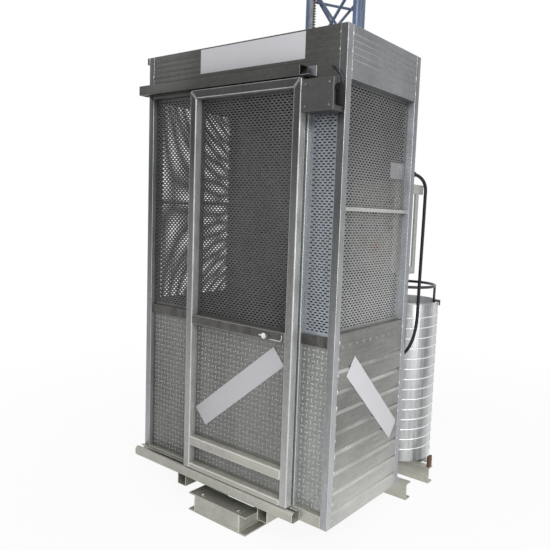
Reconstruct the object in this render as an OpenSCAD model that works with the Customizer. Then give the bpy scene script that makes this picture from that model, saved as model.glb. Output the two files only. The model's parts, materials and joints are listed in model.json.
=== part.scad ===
// Rack and pinion hoist: an enclosed car of perforated galvanised sheet that climbs a triangular mast.
// The origin is the centre of the four anchor holes, on the ground. X runs along the car's front, from
// left to right, Y from the front to the rear, and Z up.

/* [Base frame] */
// Height of the base channels
chan_h = 100; // [80:1:120]
// Flange width of the base channels
chan_flange = 50; // [44:1:60]
// Web thickness of the base channels
chan_web = 6; // [4:0.5:8]
// Flange thickness of the base channels
chan_lip = 8; // [5:0.5:10]
// Width between the backs of the two long channels
rail_gauge = 330; // [300:1:360]
// Reach of the long channels in front of the car
rail_reach = 55; // [20:1:90]
// Distance between the anchor holes across the hoist
anchor_dx = 1000; // [800:1:1060]
// Distance between the anchor holes along the hoist
anchor_dy = 285; // [260:1:320]
// Radius of the anchor holes
anchor_r = 9; // [6:0.5:11]
// Distance from a cross channel's back to its anchor holes
anchor_edge = 28; // [22:1:34]
// Thickness of the plate at the front of the base
front_plate_t = 6; // [4:0.5:10]
// Radius of the rubber buffers
buffer_r = 32; // [20:1:40]

/* [Mast] */
// Distance between the axes of two mast legs
mast_side = 350; // [330:1:370]
// Outer radius of a mast leg
leg_r = 24; // [22:0.5:26]
// Wall of a mast leg
leg_wall = 4; // [2.5:0.5:6]
// Distance from the front legs' axes to the front cross channel
leg_setback = 44.5; // [30:0.5:60]
// Thickness of the mast's base plate
foot_t = 12; // [8:1:20]
// Number of rack teeth on one mast section
section_teeth = 96; // [92:1:100]
// Radius of the mast's diagonal bars
brace_r = 9; // [7:0.5:9.5]
// Number of crossed panels in one mast section
brace_panels = 3; // [2:1:4]

/* [Rack and pinions] */
// Module of the rack
rack_m = 5; // [4.5:0.1:5.2]
// Number of teeth on a pinion
pinion_teeth = 15; // [14:1:16]
// Thickness of the rack bar
rack_t = 22; // [18:1:24]
// Depth of the rack bar behind its teeth
rack_body = 18; // [14:1:20]
// Radius of a pinion's shaft
shaft_r = 15; // [10:0.5:18]
// Height of the drive pinion's tooth space above the rack's start, in teeth
drive_tooth = 70; // [66:1:78]
// Height of the safety pinion's tooth space above the rack's start, in teeth
safety_tooth = 38; // [32:1:44]

/* [Car] */
// Width of the fixed bay to the left of the door
bay_left = 410; // [390:1:430]
// Width of the fixed bay to the right of the door
bay_right = 208; // [195:1:225]
// Depth of the car
car_d = 660; // [620:1:740]
// Height of the car
car_h = 2300; // [2250:1:2400]
// Height of the car's lower edge above the ground, at the lowest stop
car_z = 175; // [165:1:200]
// Distance from the car's rear to the front legs' axes
car_gap = 125; // [120:1:140]
// Side of the square posts
post = 40; // [35:1:44]
// Wall of the square posts
post_wall = 3; // [2:0.5:5]
// Height of the floor frame
sill_h = 60; // [45:1:64]
// Height of the front header
front_header_h = 230; // [200:1:260]
// Height of the side and rear headers
side_header_h = 230; // [200:1:260]
// Height of the lower side panels
lower_h = 930; // [860:1:960]
// Thickness of the lower side panels
lower_t = 20; // [14:1:24]
// Thickness of the perforated sheets
mesh_t = 3; // [2:0.5:4]
// Width of the tubes under the floor
bearer_w = 66; // [50:1:70]
// Height of the tubes under the floor
bearer_h = 70; // [50:1:72]
// Distance between the tubes under the floor
bearer_gap = 610; // [580:1:640]

/* [Perforation] */
// Length of one slot
slot_l = 62; // [50:1:66]
// Height of one slot
slot_h = 18; // [12:1:22]
// Distance from slot to slot along a row
slot_dx = 80; // [76:1:90]
// Distance from row to row
slot_dz = 36; // [32:1:44]
// Plain margin round a perforated field
slot_edge = 16; // [8:1:24]

/* [Door] */
// Width of the door
door_w = 742; // [720:1:760]
// Height of the door
door_h = 2020; // [1980:1:2030]
// Depth of the door's frame
door_t = 44; // [36:1:48]
// Width of the door's frame tubes
stile_w = 45; // [38:1:50]
// Height of the door's middle rail above the car's lower edge
mid_rail_z = 860; // [830:1:880]
// Height of the door's lower rail above the car's lower edge
low_rail_z = 190; // [170:1:230]
// Width of the middle and lower rails
rail_h = 50; // [44:1:54]
// Height of the door's bottom rail
foot_rail_h = 30; // [26:1:45]
// Travel of the door
door_travel = 600; // [560:1:600]

/* [Door tracks] */
// Depth of the tracks
track_d = 60; // [56:1:64]
// Height of the top track
track_h = 50; // [46:1:54]
// Wall of the tracks
track_wall = 3; // [2:0.5:4]
// Width of the slots in the tracks
track_slot = 16; // [14:1:18]
// Reach of the tracks past the car's left side
track_reach = 10; // [4:1:16]
// Height of the bottom track
sill_track_h = 56; // [52:1:60]
// Radius of the bottom track's rounded nose
sill_track_r = 20; // [14:1:24]
// Radius of the hanger wheels
wheel_r = 18; // [14:0.5:18.5]

/* [Lock] */
// Width of the lock box
lock_w = 175; // [150:1:178]
// Height of the lock box
lock_h = 140; // [120:1:160]
// Depth of the lock box
lock_d = 78; // [62:1:84]

/* [Control cabinet] */
// Width of the cabinet
cab_w = 268; // [262:1:276]
// Height of the cabinet
cab_h = 480; // [440:1:520]
// Depth of the cabinet
cab_d = 80; // [60:1:120]
// Distance between the columns of buttons
key_dx = 88; // [80:1:90]
// Distance between the rows of buttons
key_dz = 70; // [62:1:74]

/* [Rollers] */
// Radius of a guide roller at the bottom of its groove
roller_r = 30; // [26:1:33]
// Width of a guide roller
roller_w = 50; // [46:1:52]
// Radius of a guide roller's axle
axle_r = 10; // [8:0.5:12]
// Height of the lower guide rollers above the car's lower edge
roller_low = 245; // [200:1:300]
// Height of the upper guide rollers above the car's lower edge
roller_high = 1875; // [1800:1:1950]

/* [Cable drum] */
// Radius of the drum
drum_r = 200; // [185:1:205]
// Height of the drum
drum_h = 1020; // [950:1:1080]
// Wall of the drum
drum_wall = 3; // [2:0.5:4]
// Place of the drum's axis to the right of the mast
drum_x = 358; // [350:1:370]
// Reach of the cross channels past the drum's axis
drum_side = 292; // [285:1:310]
// Pitch of the drum's helical seam
seam_pitch = 65; // [60:1:80]
// Height of the guide ring above the drum
ring_rise = 96; // [70:1:110]
// Radius of the guide ring
ring_r = 172; // [165:1:176]
// Radius of the guide ring's bar
ring_bar = 9; // [6:0.5:10]

/* [Hidden] */
$fn = 64;

// Clearances: a running fit, a fit beside a moving piece, and the line between two welded members
run_gap = 0.05;
side_gap = 0.3;
weld_gap = 0.2;
cope_gap = 0.4;
eps = 1;

// Base frame
cross_front_y = -anchor_dy / 2 - anchor_edge;
cross_rear_y = anchor_dy / 2 - anchor_edge;
drum_channel_y = cross_rear_y + 275;
rail_in = rail_gauge / 2;
cross_l = 2 * (drum_x + drum_side);
cover_d = 110;

// Mast
mast_y = cross_front_y - leg_setback;
mast_back_y = mast_y + mast_side * sqrt(3) / 2;
mast_z = chan_h + foot_t;
tooth_pitch = PI * rack_m;
section_h = section_teeth * tooth_pitch;
leg_x = mast_side / 2;
legs = [[-leg_x, mast_y], [leg_x, mast_y], [0, mast_back_y]];
mast_mid = [0, mast_y + mast_side * sqrt(3) / 6];
lug_w = 34;
lug_reach = 56;
lug_t = 12;
lug_set = 0.5;
lug_bolt_r = 8;
brace_low = 60;
brace_top = 100;
rung_low = 36;
rung_drop = 170;
brace_in = 8;
brace_out = 10;
rung_step = 24;

// Rack and pinions
rack_addendum = 0.8 * rack_m;
rack_dedendum = 1.25 * rack_m;
rack_y = mast_y - leg_r + rack_t / 2 - 4;
rack_x0 = -leg_x + leg_r + 1;
rack_pitch_x = rack_x0 + rack_body + rack_dedendum;
backlash = 0.4;
mesh_gap = 0.25;
pressure = 20;
pinion_pitch_r = rack_m * pinion_teeth / 2;
pinion_base_r = pinion_pitch_r * cos(pressure);
pinion_tip_r = pinion_pitch_r + rack_m;
pinion_root_r = pinion_pitch_r - rack_addendum - 0.25 * rack_m;
pinion_w = 26;
pinion_x = rack_pitch_x + pinion_pitch_r + mesh_gap;
drive_z = mast_z + drive_tooth * tooth_pitch;
safety_z = mast_z + safety_tooth * tooth_pitch;

// Car
car_w = door_w + bay_left + bay_right;
car_x = car_w / 2;
car_rear_y = mast_y - car_gap;
car_front_y = car_rear_y - car_d;
in_x = car_x - post;
in_front_y = car_front_y + post;
in_rear_y = car_rear_y - post;
car_top = car_z + car_h;
floor_z = car_z + sill_h;
floor_t = 4;
front_header_z = car_top - front_header_h;
side_header_z = car_top - side_header_h;
lower_top = car_z + lower_h;
ledge_t = 10;
fold_t = 3;
skin_t = 5;
side_rail_z = lower_top + 0.494 * (side_header_z - lower_top);
side_rail_h = 18;
side_rail_d = 25;
buffer_x = rail_in + chan_flange / 2;
buffer_y = car_front_y + 300;
beam_w = 80;
bearer_reach = 32;

// Door, jambs and tracks
track_mid_y = car_front_y - track_d / 2;
door_y0 = track_mid_y - door_t / 2;
door_y1 = track_mid_y + door_t / 2;
door_x0 = -car_x + bay_left;
door_x1 = door_x0 + door_w;
sill_track_top = car_z + sill_track_h;
door_gap = 4;
door_z0 = sill_track_top + door_gap;
door_z1 = door_z0 + door_h;
track_z0 = door_z1 + door_gap;
track_x0 = -car_x - track_reach;
track_x1 = door_x1 - 6;
sill_x1 = door_x1 + 46;
lap_left = 20;
lap_right = 10;
jamb_w = 16;
jamb_l0 = door_x0 + lap_left - jamb_w;
jamb_r0 = door_x1 - lap_right;
kick_rail_z = car_z + mid_rail_z;
rail_set = 8;
sheet_set = 22;
sheet_y = car_front_y + sheet_set;
wheel_z = track_z0 + track_wall + side_gap + wheel_r;
wheel_w = 10;
wheel_off = track_slot / 2 + 1;
pin_r = 5;
hanger_w = 44;
hanger_t = 6;
stop_room = 8;
hanger_x = [track_x0 + track_wall + stop_room + wheel_r + door_travel, door_x1 - 80];
shoe_l = 60;
shoe_drop = 30;
shoe_t = track_slot - 6;

// Latch on the door's middle rail
latch_l = 112;
latch_h = 38;
latch_t = 4;
latch_x1 = door_x1 - stile_w - 12;
latch_z = kick_rail_z + rail_h / 2;
knob_x = latch_x1 - 96;
knob_r = 14;
knob_l = 18;
boss_l = 6;
spindle_r = 6;

// Lock box and its limit switch
lock_edge = 8;
lock_x0 = car_x - lock_edge - lock_w;
lock_z1 = door_z1 - 22;
lock_z0 = lock_z1 - lock_h;
switch_w = 22;
switch_h = 88;
switch_d = 40;
switch_y0 = car_front_y - lock_d + 16;
switch_z0 = lock_z0 + 24;

// Control cabinet on the rear wall
rear_sheet = 2.5;
cab_x1 = in_x - 2;
cab_x0 = cab_x1 - cab_w;
cab_rise = 248;
cab_z0 = lower_top + cab_rise;
cab_y0 = in_rear_y - cab_d;
key_x = cab_x0 + 75;
key_drop = 103;
key_z = cab_z0 + cab_h - key_drop;
key_r = 12;
key_travel = 4;
stop_x = key_x + key_dx;
stop_drop = 243;
stop_z = key_z - stop_drop;
stop_r = 20;
stop_plate_r = 34;
collar_h = 6;

// Drive on the rear of the car
roller_x = leg_x + leg_r + side_gap + roller_r;
drive_rail_w = 40;
drive_rail_d = car_gap - 35;
drive_rail_wall = 4;
drive_rail_y1 = car_rear_y + drive_rail_d;
drive_rail_in = roller_x - drive_rail_w / 2;
drive_rail_cut = 20;
plate_t = 12;
plate_y0 = drive_rail_y1 - plate_t;
plate_half = 80;
gear_w = 150;
gear_h = 170;
gear_gap = 5;
gear_y0 = car_rear_y + gear_gap;
motor_r = 58;
motor_fin = 6;
motor_h = 240;
motor_x = pinion_x + 55;
terminal = [40, 68, 80];
terminal_z = 70;
motor_y = (gear_y0 + plate_y0) / 2;
governor_r = 72;

// Cable drum
drum_y = cross_rear_y + 137;
drum_top = chan_h + drum_h;
ring_z = drum_top + ring_rise;
rim = 5;
clip_w = 28;
clip_t = 8;
clip_drop = 26;
seam_w = 9;
seam_rise = 3;
seam_gap = 0.35;
seam_steps = 28;
stop_block_w = 18;
stop_block_h = 70;

// Cable, from the gland on the rear post to the gland on the junction box
cable_r = 9;
cable_sides = 10;
cable_steps = 3;
box_w = 150;
box_h = 150;
box_d = 70;
box_x1 = car_x - 120;
box_rise = 630;
box_z0 = car_z + box_rise;
gland_l = 26;
gland_r = 15;
gland_bore = 1.2;
gland_set = 18;
upper_gland = [car_x - 16, car_rear_y, car_z + 1704];
lower_gland = [box_x1, car_rear_y + gland_set, box_z0 + box_h / 2];
arm_drop = 54;
arm_h = 50;
arm_l = 110;
bracket_h = 478;
cable_route = [
    [-16, 17, 1704], [-16, 27, 1704], [-14.8, 40.9, 1703], [-11.9, 54.3, 1700.3], [-7.9, 66.8, 1695.6],
    [-3.2, 78.2, 1688.9], [1.7, 88, 1680.2], [6.1, 95.9, 1669.6], [9.8, 101.8, 1657.4],
    [12.6, 106, 1642.3], [14, 108, 1622.5], [14, 108, 1594.5], [13.9, 107.9, 1551.5],
    [13.7, 107.8, 1501.3], [13.3, 107.7, 1451.2], [13, 107.5, 1401], [12.5, 107.3, 1350.9],
    [12.1, 107, 1300.7], [11.6, 106.8, 1250.6], [11.2, 106.6, 1200.4], [10.8, 106.4, 1150.3],
    [10.5, 106.2, 1100.1], [10.2, 106.1, 1050], [10, 106, 999.8], [10.2, 105.5, 949.7],
    [11.9, 100.3, 920.2], [13.7, 92.8, 892.5], [14.6, 84, 865.1], [14.3, 74.3, 838], [12.2, 64, 811.2],
    [7.3, 53.3, 784.9], [-1.4, 42.6, 759.6], [-15.5, 32.5, 736.7], [-36.3, 24.4, 718.8],
    [-62.5, 19.5, 708.2], [-91, 18, 705], [-103, 18, 705]
];
cable_points = [for (p = cable_route) p + [car_x, car_rear_y, car_z]];
lead_start = [lock_x0 + lock_w + switch_w / 2, switch_y0 + switch_d / 2, switch_z0 + switch_h + 6.3];
lead_end = [in_x - 22, car_front_y - 0.6, front_header_z + 45];
lead_route = [
    [0, 0, 0], [0, 0, 10], [-3.6, -1, 26.1], [-12.9, -2.9, 40.7], [-25.6, -3.9, 53.5], [-39.4, -2.3, 64.1],
    [-52.1, 3.8, 72.1], [-61.4, 16.1, 77.2], [-65, 36.4, 78.7], [-65, 41.4, 78.7]
];
lead_span = lead_route[len(lead_route) - 1];
switch_points = [for (p = lead_route)
    lead_start + [for (k = [0 : 2]) p[k] / lead_span[k] * (lead_end[k] - lead_start[k])]];
lead_r = 4;

galvanised = "silver";
sheet_grey = "lightsteelblue";
dark = "dimgray";
black = "#222222";
beige = "wheat";

// A box between two corners
module block(x0, x1, y0, y1, z0, z1) {
    translate([x0, y0, z0]) cube([x1 - x0, y1 - y0, z1 - z0]);
}

// A cylinder along Y that starts at y0
module along_y(x, y0, z, r, length) {
    translate([x, y0, z]) rotate([-90, 0, 0]) cylinder(r = r, h = length);
}

// A square tube that stands on z0
module upright(x0, y0, z0, side, wall, height) {
    difference() {
        block(x0, x0 + side, y0, y0 + side, z0, z0 + height);
        block(x0 + wall, x0 + side - wall, y0 + wall, y0 + side - wall, z0 - eps, z0 + height + eps);
    }
}

// A rectangular tube along X with open ends
module tube_x(x0, x1, y0, y1, z0, z1) {
    difference() {
        block(x0, x1, y0, y1, z0, z1);
        block(x0 - eps, x1 + eps, y0 + post_wall, y1 - post_wall, z0 + post_wall, z1 - post_wall);
    }
}

// Section of a channel, with its back on x = 0 and its flanges towards +X
module channel_section() {
    difference() {
        square([chan_flange, chan_h]);
        translate([chan_web, chan_lip]) square([chan_flange, chan_h - 2 * chan_lip]);
    }
}

// A channel along X, with its back at y and its flanges towards +Y
module cross_channel(x0, x1, y) {
    translate([x0, y, 0]) rotate([90, 0, 90]) linear_extrude(x1 - x0) channel_section();
}

// A channel along Y, with its back at x and its flanges to the side that sign gives
module long_channel(x, y0, y1, sign) {
    translate([x, y1, 0]) mirror([sign < 0 ? 1 : 0, 0, 0]) rotate([90, 0, 0])
        linear_extrude(y1 - y0) channel_section();
}

module long_channels() {
    color(galvanised)
    for (s = [-1, 1])
        long_channel(s * rail_in, car_front_y - rail_reach, cross_front_y, s);
}

module front_plate() {
    y0 = car_front_y - rail_reach;
    color(galvanised) union() {
        block(-rail_in, rail_in, y0, y0 + front_plate_t, 0, chan_h);
        block(-rail_in, rail_in, y0, y0 + cover_d, chan_h - front_plate_t, chan_h);
    }
}

module cross_channels() {
    color(galvanised)
    for (y = [cross_front_y, cross_rear_y])
        difference() {
            cross_channel(-cross_l / 2, cross_l / 2, y);
            for (s = [-1, 1])
                translate([s * anchor_dx / 2, y + anchor_edge, -eps]) cylinder(r = anchor_r, h = chan_lip + 2 * eps);
        }
}

module link_channels() {
    color(galvanised) {
        for (s = [-1, 1])
            long_channel(s * rail_in, cross_front_y + chan_flange, cross_rear_y, s);
        cross_channel(drum_x - drum_r * 0.8, drum_x + drum_r * 0.7, drum_channel_y);
        for (x = [drum_x - drum_r * 0.6, drum_x + drum_r * 0.3])
            long_channel(x, cross_rear_y + chan_flange, drum_channel_y - weld_gap, 1);
    }
}

module buffers() {
    color(black)
    for (s = [-1, 1])
        translate([s * buffer_x, buffer_y, chan_h]) rotate_extrude() polygon([
            [0, 0], [buffer_r * 0.75, 0], [buffer_r * 0.75, 12], [buffer_r, 20],
            [buffer_r * 0.8, car_z - chan_h - side_gap], [0, car_z - chan_h - side_gap]
        ]);
}

module mast_plate() {
    half = rail_in + chan_flange;
    tongue = leg_r + lug_w + 50;
    front_y1 = cross_front_y + chan_flange;
    color(galvanised) union() {
        block(-half, half, mast_y - leg_r - 26, front_y1, chan_h, mast_z);
        block(-tongue, tongue, front_y1 - eps, cross_rear_y + chan_flange, chan_h, mast_z);
    }
}

// The lug by which one mast section is bolted to the next, pointing from a leg to the mast's middle
module mast_lug(leg, z) {
    turn = atan2(mast_mid[1] - leg[1], mast_mid[0] - leg[0]);
    translate([leg[0], leg[1], z]) rotate(turn) difference() {
        translate([0, -lug_w / 2, 0]) cube([lug_reach, lug_w, lug_t]);
        translate([lug_reach - lug_w / 2 + 2, 0, -eps]) cylinder(r = lug_bolt_r + side_gap, h = lug_t + 2 * eps);
    }
}

module mast_legs(z) {
    for (leg = legs)
        difference() {
            union() {
                translate([leg[0], leg[1], z]) cylinder(r = leg_r, h = section_h);
                mast_lug(leg, z + lug_set);
                mast_lug(leg, z + section_h - lug_t - lug_set);
            }
            translate([leg[0], leg[1], z - eps]) cylinder(r = leg_r - leg_wall, h = section_h + 2 * eps);
        }
}

// A round bar from point a to point b
module bar(a, b, r) {
    d = b - a;
    translate(a) rotate([0, acos(d[2] / norm(d)), atan2(d[1], d[0])]) cylinder(r = r, h = norm(d));
}

// Crossed diagonals and rungs between two legs, beside the legs' axes and coped round them. The falling
// diagonal is in two halves, welded to the rising one. A rung is given by its height and its own set.
module mast_face(a, b, z, set, rungs) {
    panel_h = (section_h - brace_low - brace_top) / brace_panels;
    inward = (mast_mid - (a + b) / 2) / norm(mast_mid - (a + b) / 2);
    step = [inward[0], inward[1], 0];
    p = [a[0], a[1], z];
    q = [b[0], b[1], z];
    difference() {
        union() {
            for (k = [0 : brace_panels - 1]) {
                low = [0, 0, brace_low + k * panel_h] + step * set;
                high = low + [0, 0, panel_h];
                bar(p + low, q + high, brace_r);
                difference() {
                    bar(q + low, p + high, brace_r - 0.5);
                    bar(p + low, q + high, brace_r + cope_gap);
                }
            }
            for (rung = rungs) {
                level = [0, 0, rung[0]] + step * rung[1];
                bar(p + level, q + level, brace_r - 1);
            }
        }
        for (leg = [a, b])
            translate([leg[0], leg[1], z - eps]) cylinder(r = leg_r + cope_gap, h = section_h + 2 * eps);
    }
}

// One section of the mast: three legs and the bars of its three faces
module mast_section(z) {
    top = section_h - rung_drop;
    color(dark) {
        mast_legs(z);
        mast_face(legs[0], legs[1], z, brace_in, [[rung_low, brace_in]]);
        mast_face(legs[1], legs[2], z, -brace_out, [[rung_low, -brace_out], [top, brace_in]]);
        mast_face(legs[2], legs[0], z, -brace_out, [[rung_low, -brace_out], [top - rung_step, brace_in]]);
    }
}

module mast_lower() { mast_section(mast_z); }

module mast_upper() { mast_section(mast_z + section_h); }

// Bolts that hold the upper section on the lower one, and the lower one on the base plate
module mast_bolts() {
    reach = lug_reach - lug_w / 2 + 2;
    grip = lug_t + lug_set;
    head_r = 14;
    head_h = 13;
    nut_h = 10;
    color(galvanised)
    for (leg = legs) {
        turn = atan2(mast_mid[1] - leg[1], mast_mid[0] - leg[0]);
        translate([leg[0], leg[1], mast_z + section_h]) rotate(turn) translate([reach, 0, 0]) {
            translate([0, 0, -grip - head_h]) cylinder(r = head_r, h = head_h, $fn = 6);
            translate([0, 0, -grip]) cylinder(r = lug_bolt_r, h = 2 * grip);
            translate([0, 0, grip]) cylinder(r = head_r, h = nut_h, $fn = 6);
        }
        translate([leg[0], leg[1], mast_z]) rotate(turn) translate([reach, 0, 0]) {
            cylinder(r = lug_bolt_r, h = grip);
            translate([0, 0, grip]) cylinder(r = head_r, h = nut_h, $fn = 6);
        }
    }
}

// Outline of one rack tooth, from its lower root to its upper root
function rack_tooth(z) = let (
        half = tooth_pitch / 4 - backlash / 4,
        root = half + rack_dedendum * tan(pressure),
        tip = half - rack_addendum * tan(pressure)
    ) [
        [rack_pitch_x - rack_dedendum, z - root], [rack_pitch_x + rack_addendum, z - tip],
        [rack_pitch_x + rack_addendum, z + tip], [rack_pitch_x - rack_dedendum, z + root]
    ];

module rack(z) {
    teeth = [for (k = [0 : section_teeth - 1]) each rack_tooth((k + 0.5) * tooth_pitch)];
    root_x = rack_pitch_x - rack_dedendum;
    end = section_h - weld_gap;
    outline = concat([[rack_x0, 0], [root_x, 0]], teeth, [[root_x, end], [rack_x0, end]]);
    difference() {
        union() {
            translate([0, rack_y + rack_t / 2, z]) rotate([90, 0, 0]) linear_extrude(rack_t) polygon(outline);
            for (k = [0.1, 0.5, 0.9])
                block(-leg_x + leg_r / 3, rack_x0 + eps, rack_y - rack_t / 2 + 2, rack_y + rack_t / 2 - 2,
                      z + k * section_h - 20, z + k * section_h + 20);
        }
        translate([-leg_x, mast_y, z - eps]) cylinder(r = leg_r + weld_gap, h = section_h + 2 * eps);
    }
}

module racks() {
    color(galvanised) {
        rack(mast_z);
        rack(mast_z + section_h);
    }
}

module cable_drum() {
    color("gainsboro")
    translate([drum_x, drum_y, chan_h]) rotate_extrude() polygon([
        [0, 0], [drum_r, 0], [drum_r, drum_h - 12], [drum_r + rim, drum_h - 9], [drum_r + rim, drum_h - 3],
        [drum_r, drum_h], [drum_r - drum_wall, drum_h], [drum_r - drum_wall, drum_wall], [0, drum_wall]
    ]);
}

// A tube along rings of points, with closed ends
module tube_of(rings) {
    n = len(rings[0]);
    m = len(rings);
    points = [for (ring = rings) each ring];
    sides = [for (i = [0 : m - 2], j = [0 : n - 1]) let (k = (j + 1) % n)
        each [[i * n + j, i * n + k, (i + 1) * n + k], [i * n + j, (i + 1) * n + k, (i + 1) * n + j]]];
    first = [for (j = [1 : n - 2]) [0, j + 1, j]];
    last = [for (j = [1 : n - 2]) [(m - 1) * n, (m - 1) * n + j, (m - 1) * n + j + 1]];
    polyhedron(points = points, faces = concat(sides, first, last));
}

// The folded seam winds up the drum's wall
module drum_seam() {
    turns = (drum_h - 60) / seam_pitch;
    inner = drum_r + seam_gap;
    rings = [for (k = [0 : floor(turns * seam_steps)]) let (
            a = 360 * k / seam_steps,
            z = 20 + seam_pitch * k / seam_steps,
            chord = inner / cos(180 / seam_steps)
        ) [for (c = [[chord, 0], [chord, seam_w], [chord + seam_rise, seam_w * 0.7], [chord + seam_rise, seam_w * 0.3]])
            [c[0] * cos(a), c[0] * sin(a), z + c[1]]]];
    color("silver") translate([drum_x, drum_y, chan_h]) tube_of([for (r = rings) [r[3], r[2], r[1], r[0]]]);
}

module guide_ring() {
    color(black) translate([drum_x, drum_y, 0]) {
        union() {
            translate([0, 0, ring_z]) rotate_extrude() translate([ring_r, 0]) circle(r = ring_bar);
            for (a = [20, 140, 260])
                rotate(a) {
                    translate([ring_r, 0, drum_top - 40]) cylinder(r = ring_bar - 1, h = ring_rise + 40);
                    translate([ring_r - 9, -clip_w / 2, drum_top]) cube([drum_r - ring_r + 22, clip_w, clip_t]);
                    translate([drum_r + rim, -clip_w / 2, drum_top - clip_drop])
                        cube([clip_t, clip_w, clip_drop + clip_t]);
                }
        }
    }
}

module stop_block() {
    color("saddlebrown")
    block(cross_l / 2 - stop_block_w - 2, cross_l / 2 - 2, cross_rear_y + 4, cross_rear_y + chan_flange - 6,
          chan_h, chan_h + stop_block_h);
}

module floor_bearers() {
    wall = 3;
    length = car_d + bearer_reach;
    color(galvanised)
    for (s = [-1, 1])
        translate([s * bearer_gap / 2 - bearer_w / 2, car_front_y - bearer_reach, car_z - bearer_h]) difference() {
            cube([bearer_w, length, bearer_h]);
            translate([wall, -eps, wall]) cube([bearer_w - 2 * wall, length + 2 * eps, bearer_h - 2 * wall]);
        }
}

module floor_frame() {
    side_in = car_x - lower_t - post;
    beam_in = side_in - weld_gap;
    color(galvanised) {
        tube_x(-in_x, in_x, car_front_y, in_front_y, car_z, floor_z);
        tube_x(-in_x, in_x, in_rear_y, car_rear_y, car_z, floor_z);
        for (s = [0, 1])
            mirror([s, 0, 0]) difference() {
                block(side_in, car_x - lower_t, in_front_y + weld_gap, in_rear_y - weld_gap, car_z, floor_z);
                block(side_in + post_wall, car_x - lower_t - post_wall, in_front_y, in_rear_y,
                      car_z + post_wall, floor_z - post_wall);
            }
        tube_x(-beam_in, beam_in, buffer_y - beam_w / 2, buffer_y + beam_w / 2, car_z, floor_z);
    }
}

module floor_plate() {
    color(sheet_grey) block(-in_x, in_x, in_front_y, in_rear_y, floor_z, floor_z + floor_t);
}

module corner_posts() {
    lug = 20;
    color(galvanised) {
        for (x = [-car_x, in_x], y = [car_front_y, in_rear_y])
            upright(x, y, car_z, post, post_wall, car_h);
        block(-car_x - lug, -car_x - weld_gap, car_front_y, car_front_y + post, car_top - 36, car_top);
    }
}

// A header with grooves rolled along its outer face, in its own frame: the outer face is y = 0
module header(length, height) {
    pitch = 27;
    groove = 3;
    difference() {
        cube([length, post, height]);
        translate([fold_t, skin_t, fold_t])
            cube([length - 2 * fold_t, post, height - 2 * fold_t]);
        for (z = [pitch * 1.5 : pitch : min(height, 5.6 * pitch)])
            translate([-eps, -eps, height - z]) cube([length + 2 * eps, eps + 2, groove]);
    }
}

module headers() {
    color(galvanised) {
        translate([-in_x, car_front_y, front_header_z]) header(2 * in_x, front_header_h);
        translate([in_x, car_rear_y, side_header_z]) rotate(180) header(2 * in_x, side_header_h);
        for (s = [0, 1])
            mirror([s, 0, 0]) translate([car_x, in_front_y + weld_gap, side_header_z]) rotate(90)
                header(in_rear_y - in_front_y - 2 * weld_gap, side_header_h);
    }
}

module roof_sheet() {
    depth = 20;
    rib = 30;
    color(sheet_grey) union() {
        block(-in_x, in_x, in_front_y, in_rear_y, car_top - depth, car_top - depth + floor_t);
        for (k = [-1 : 1])
            block(k * in_x / 2 - rib / 2, k * in_x / 2 + rib / 2, in_front_y, in_rear_y,
                  car_top - depth, car_top - depth + 12);
    }
}

// A sheet with ribs rolled along it, its outer face on y = 0, with a ledge at its top that carries the mesh
module ribbed_panel(length, height) {
    pitch = 98;
    groove = 7;
    union() {
        difference() {
            cube([length, lower_t, height]);
            translate([fold_t, skin_t, fold_t])
                cube([length - 2 * fold_t, lower_t, height - fold_t - ledge_t]);
            for (z = [70 : pitch : height - 160])
                translate([-eps, -eps, z]) cube([length + 2 * eps, eps + 3, groove]);
        }
        translate([0, lower_t - eps, height - ledge_t]) cube([length, post - lower_t + eps, ledge_t]);
    }
}

module lower_panels() {
    color(galvanised)
    for (s = [0, 1])
        mirror([s, 0, 0]) translate([car_x, in_front_y, car_z]) rotate(90)
            ribbed_panel(in_rear_y - in_front_y, lower_h);
}

module rear_panel() {
    rib = 40;
    height = side_header_z - floor_z;
    color(sheet_grey) translate([-in_x, in_rear_y, floor_z]) union() {
        cube([2 * in_x, rear_sheet, height]);
        for (z = [height / 5 : height / 5 : height - 1])
            translate([0, 0, z - rib / 2]) cube([2 * in_x, rear_sheet + 10, rib]);
    }
}

// A sheet with staggered slots, in the plane y = 0
module perforated(w, h) {
    rows = floor((h - 2 * slot_edge - slot_h) / slot_dz);
    cols = floor((w - 2 * slot_edge - slot_l - slot_dx / 2) / slot_dx);
    x0 = (w - cols * slot_dx - slot_l - slot_dx / 2) / 2;
    z0 = (h - rows * slot_dz - slot_h) / 2;
    difference() {
        cube([w, mesh_t, h]);
        for (r = [0 : rows], k = [0 : max(cols, 0)])
            translate([x0 + k * slot_dx + (r % 2) * slot_dx / 2, -eps, z0 + r * slot_dz])
                cube([slot_l, mesh_t + 2 * eps, slot_h]);
    }
}

module side_meshes() {
    color(sheet_grey)
    for (s = [0, 1])
        mirror([s, 0, 0]) translate([in_x + mesh_t, in_front_y, lower_top]) rotate(90)
            perforated(in_rear_y - in_front_y, side_header_z - lower_top);
}

// Rails across the sides' mesh and between the front's mesh and tread plates
module waist_rails() {
    color(galvanised) {
        for (s = [0, 1])
            mirror([s, 0, 0]) block(in_x + mesh_t, in_x + mesh_t + side_rail_d, in_front_y, in_rear_y,
                                    side_rail_z, side_rail_z + side_rail_h);
        block(-in_x, jamb_l0, car_front_y + rail_set, in_front_y, kick_rail_z, kick_rail_z + rail_h);
        block(jamb_r0 + jamb_w, in_x, car_front_y + rail_set, in_front_y, kick_rail_z, kick_rail_z + rail_h);
    }
}

module front_jambs() {
    color(galvanised)
    for (x = [jamb_l0, jamb_r0])
        difference() {
            block(x, x + jamb_w, car_front_y, in_front_y, floor_z, front_header_z);
            block(x + post_wall, x + jamb_w - post_wall, car_front_y + post_wall, in_front_y - post_wall,
                  floor_z - eps, front_header_z + eps);
        }
}

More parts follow.
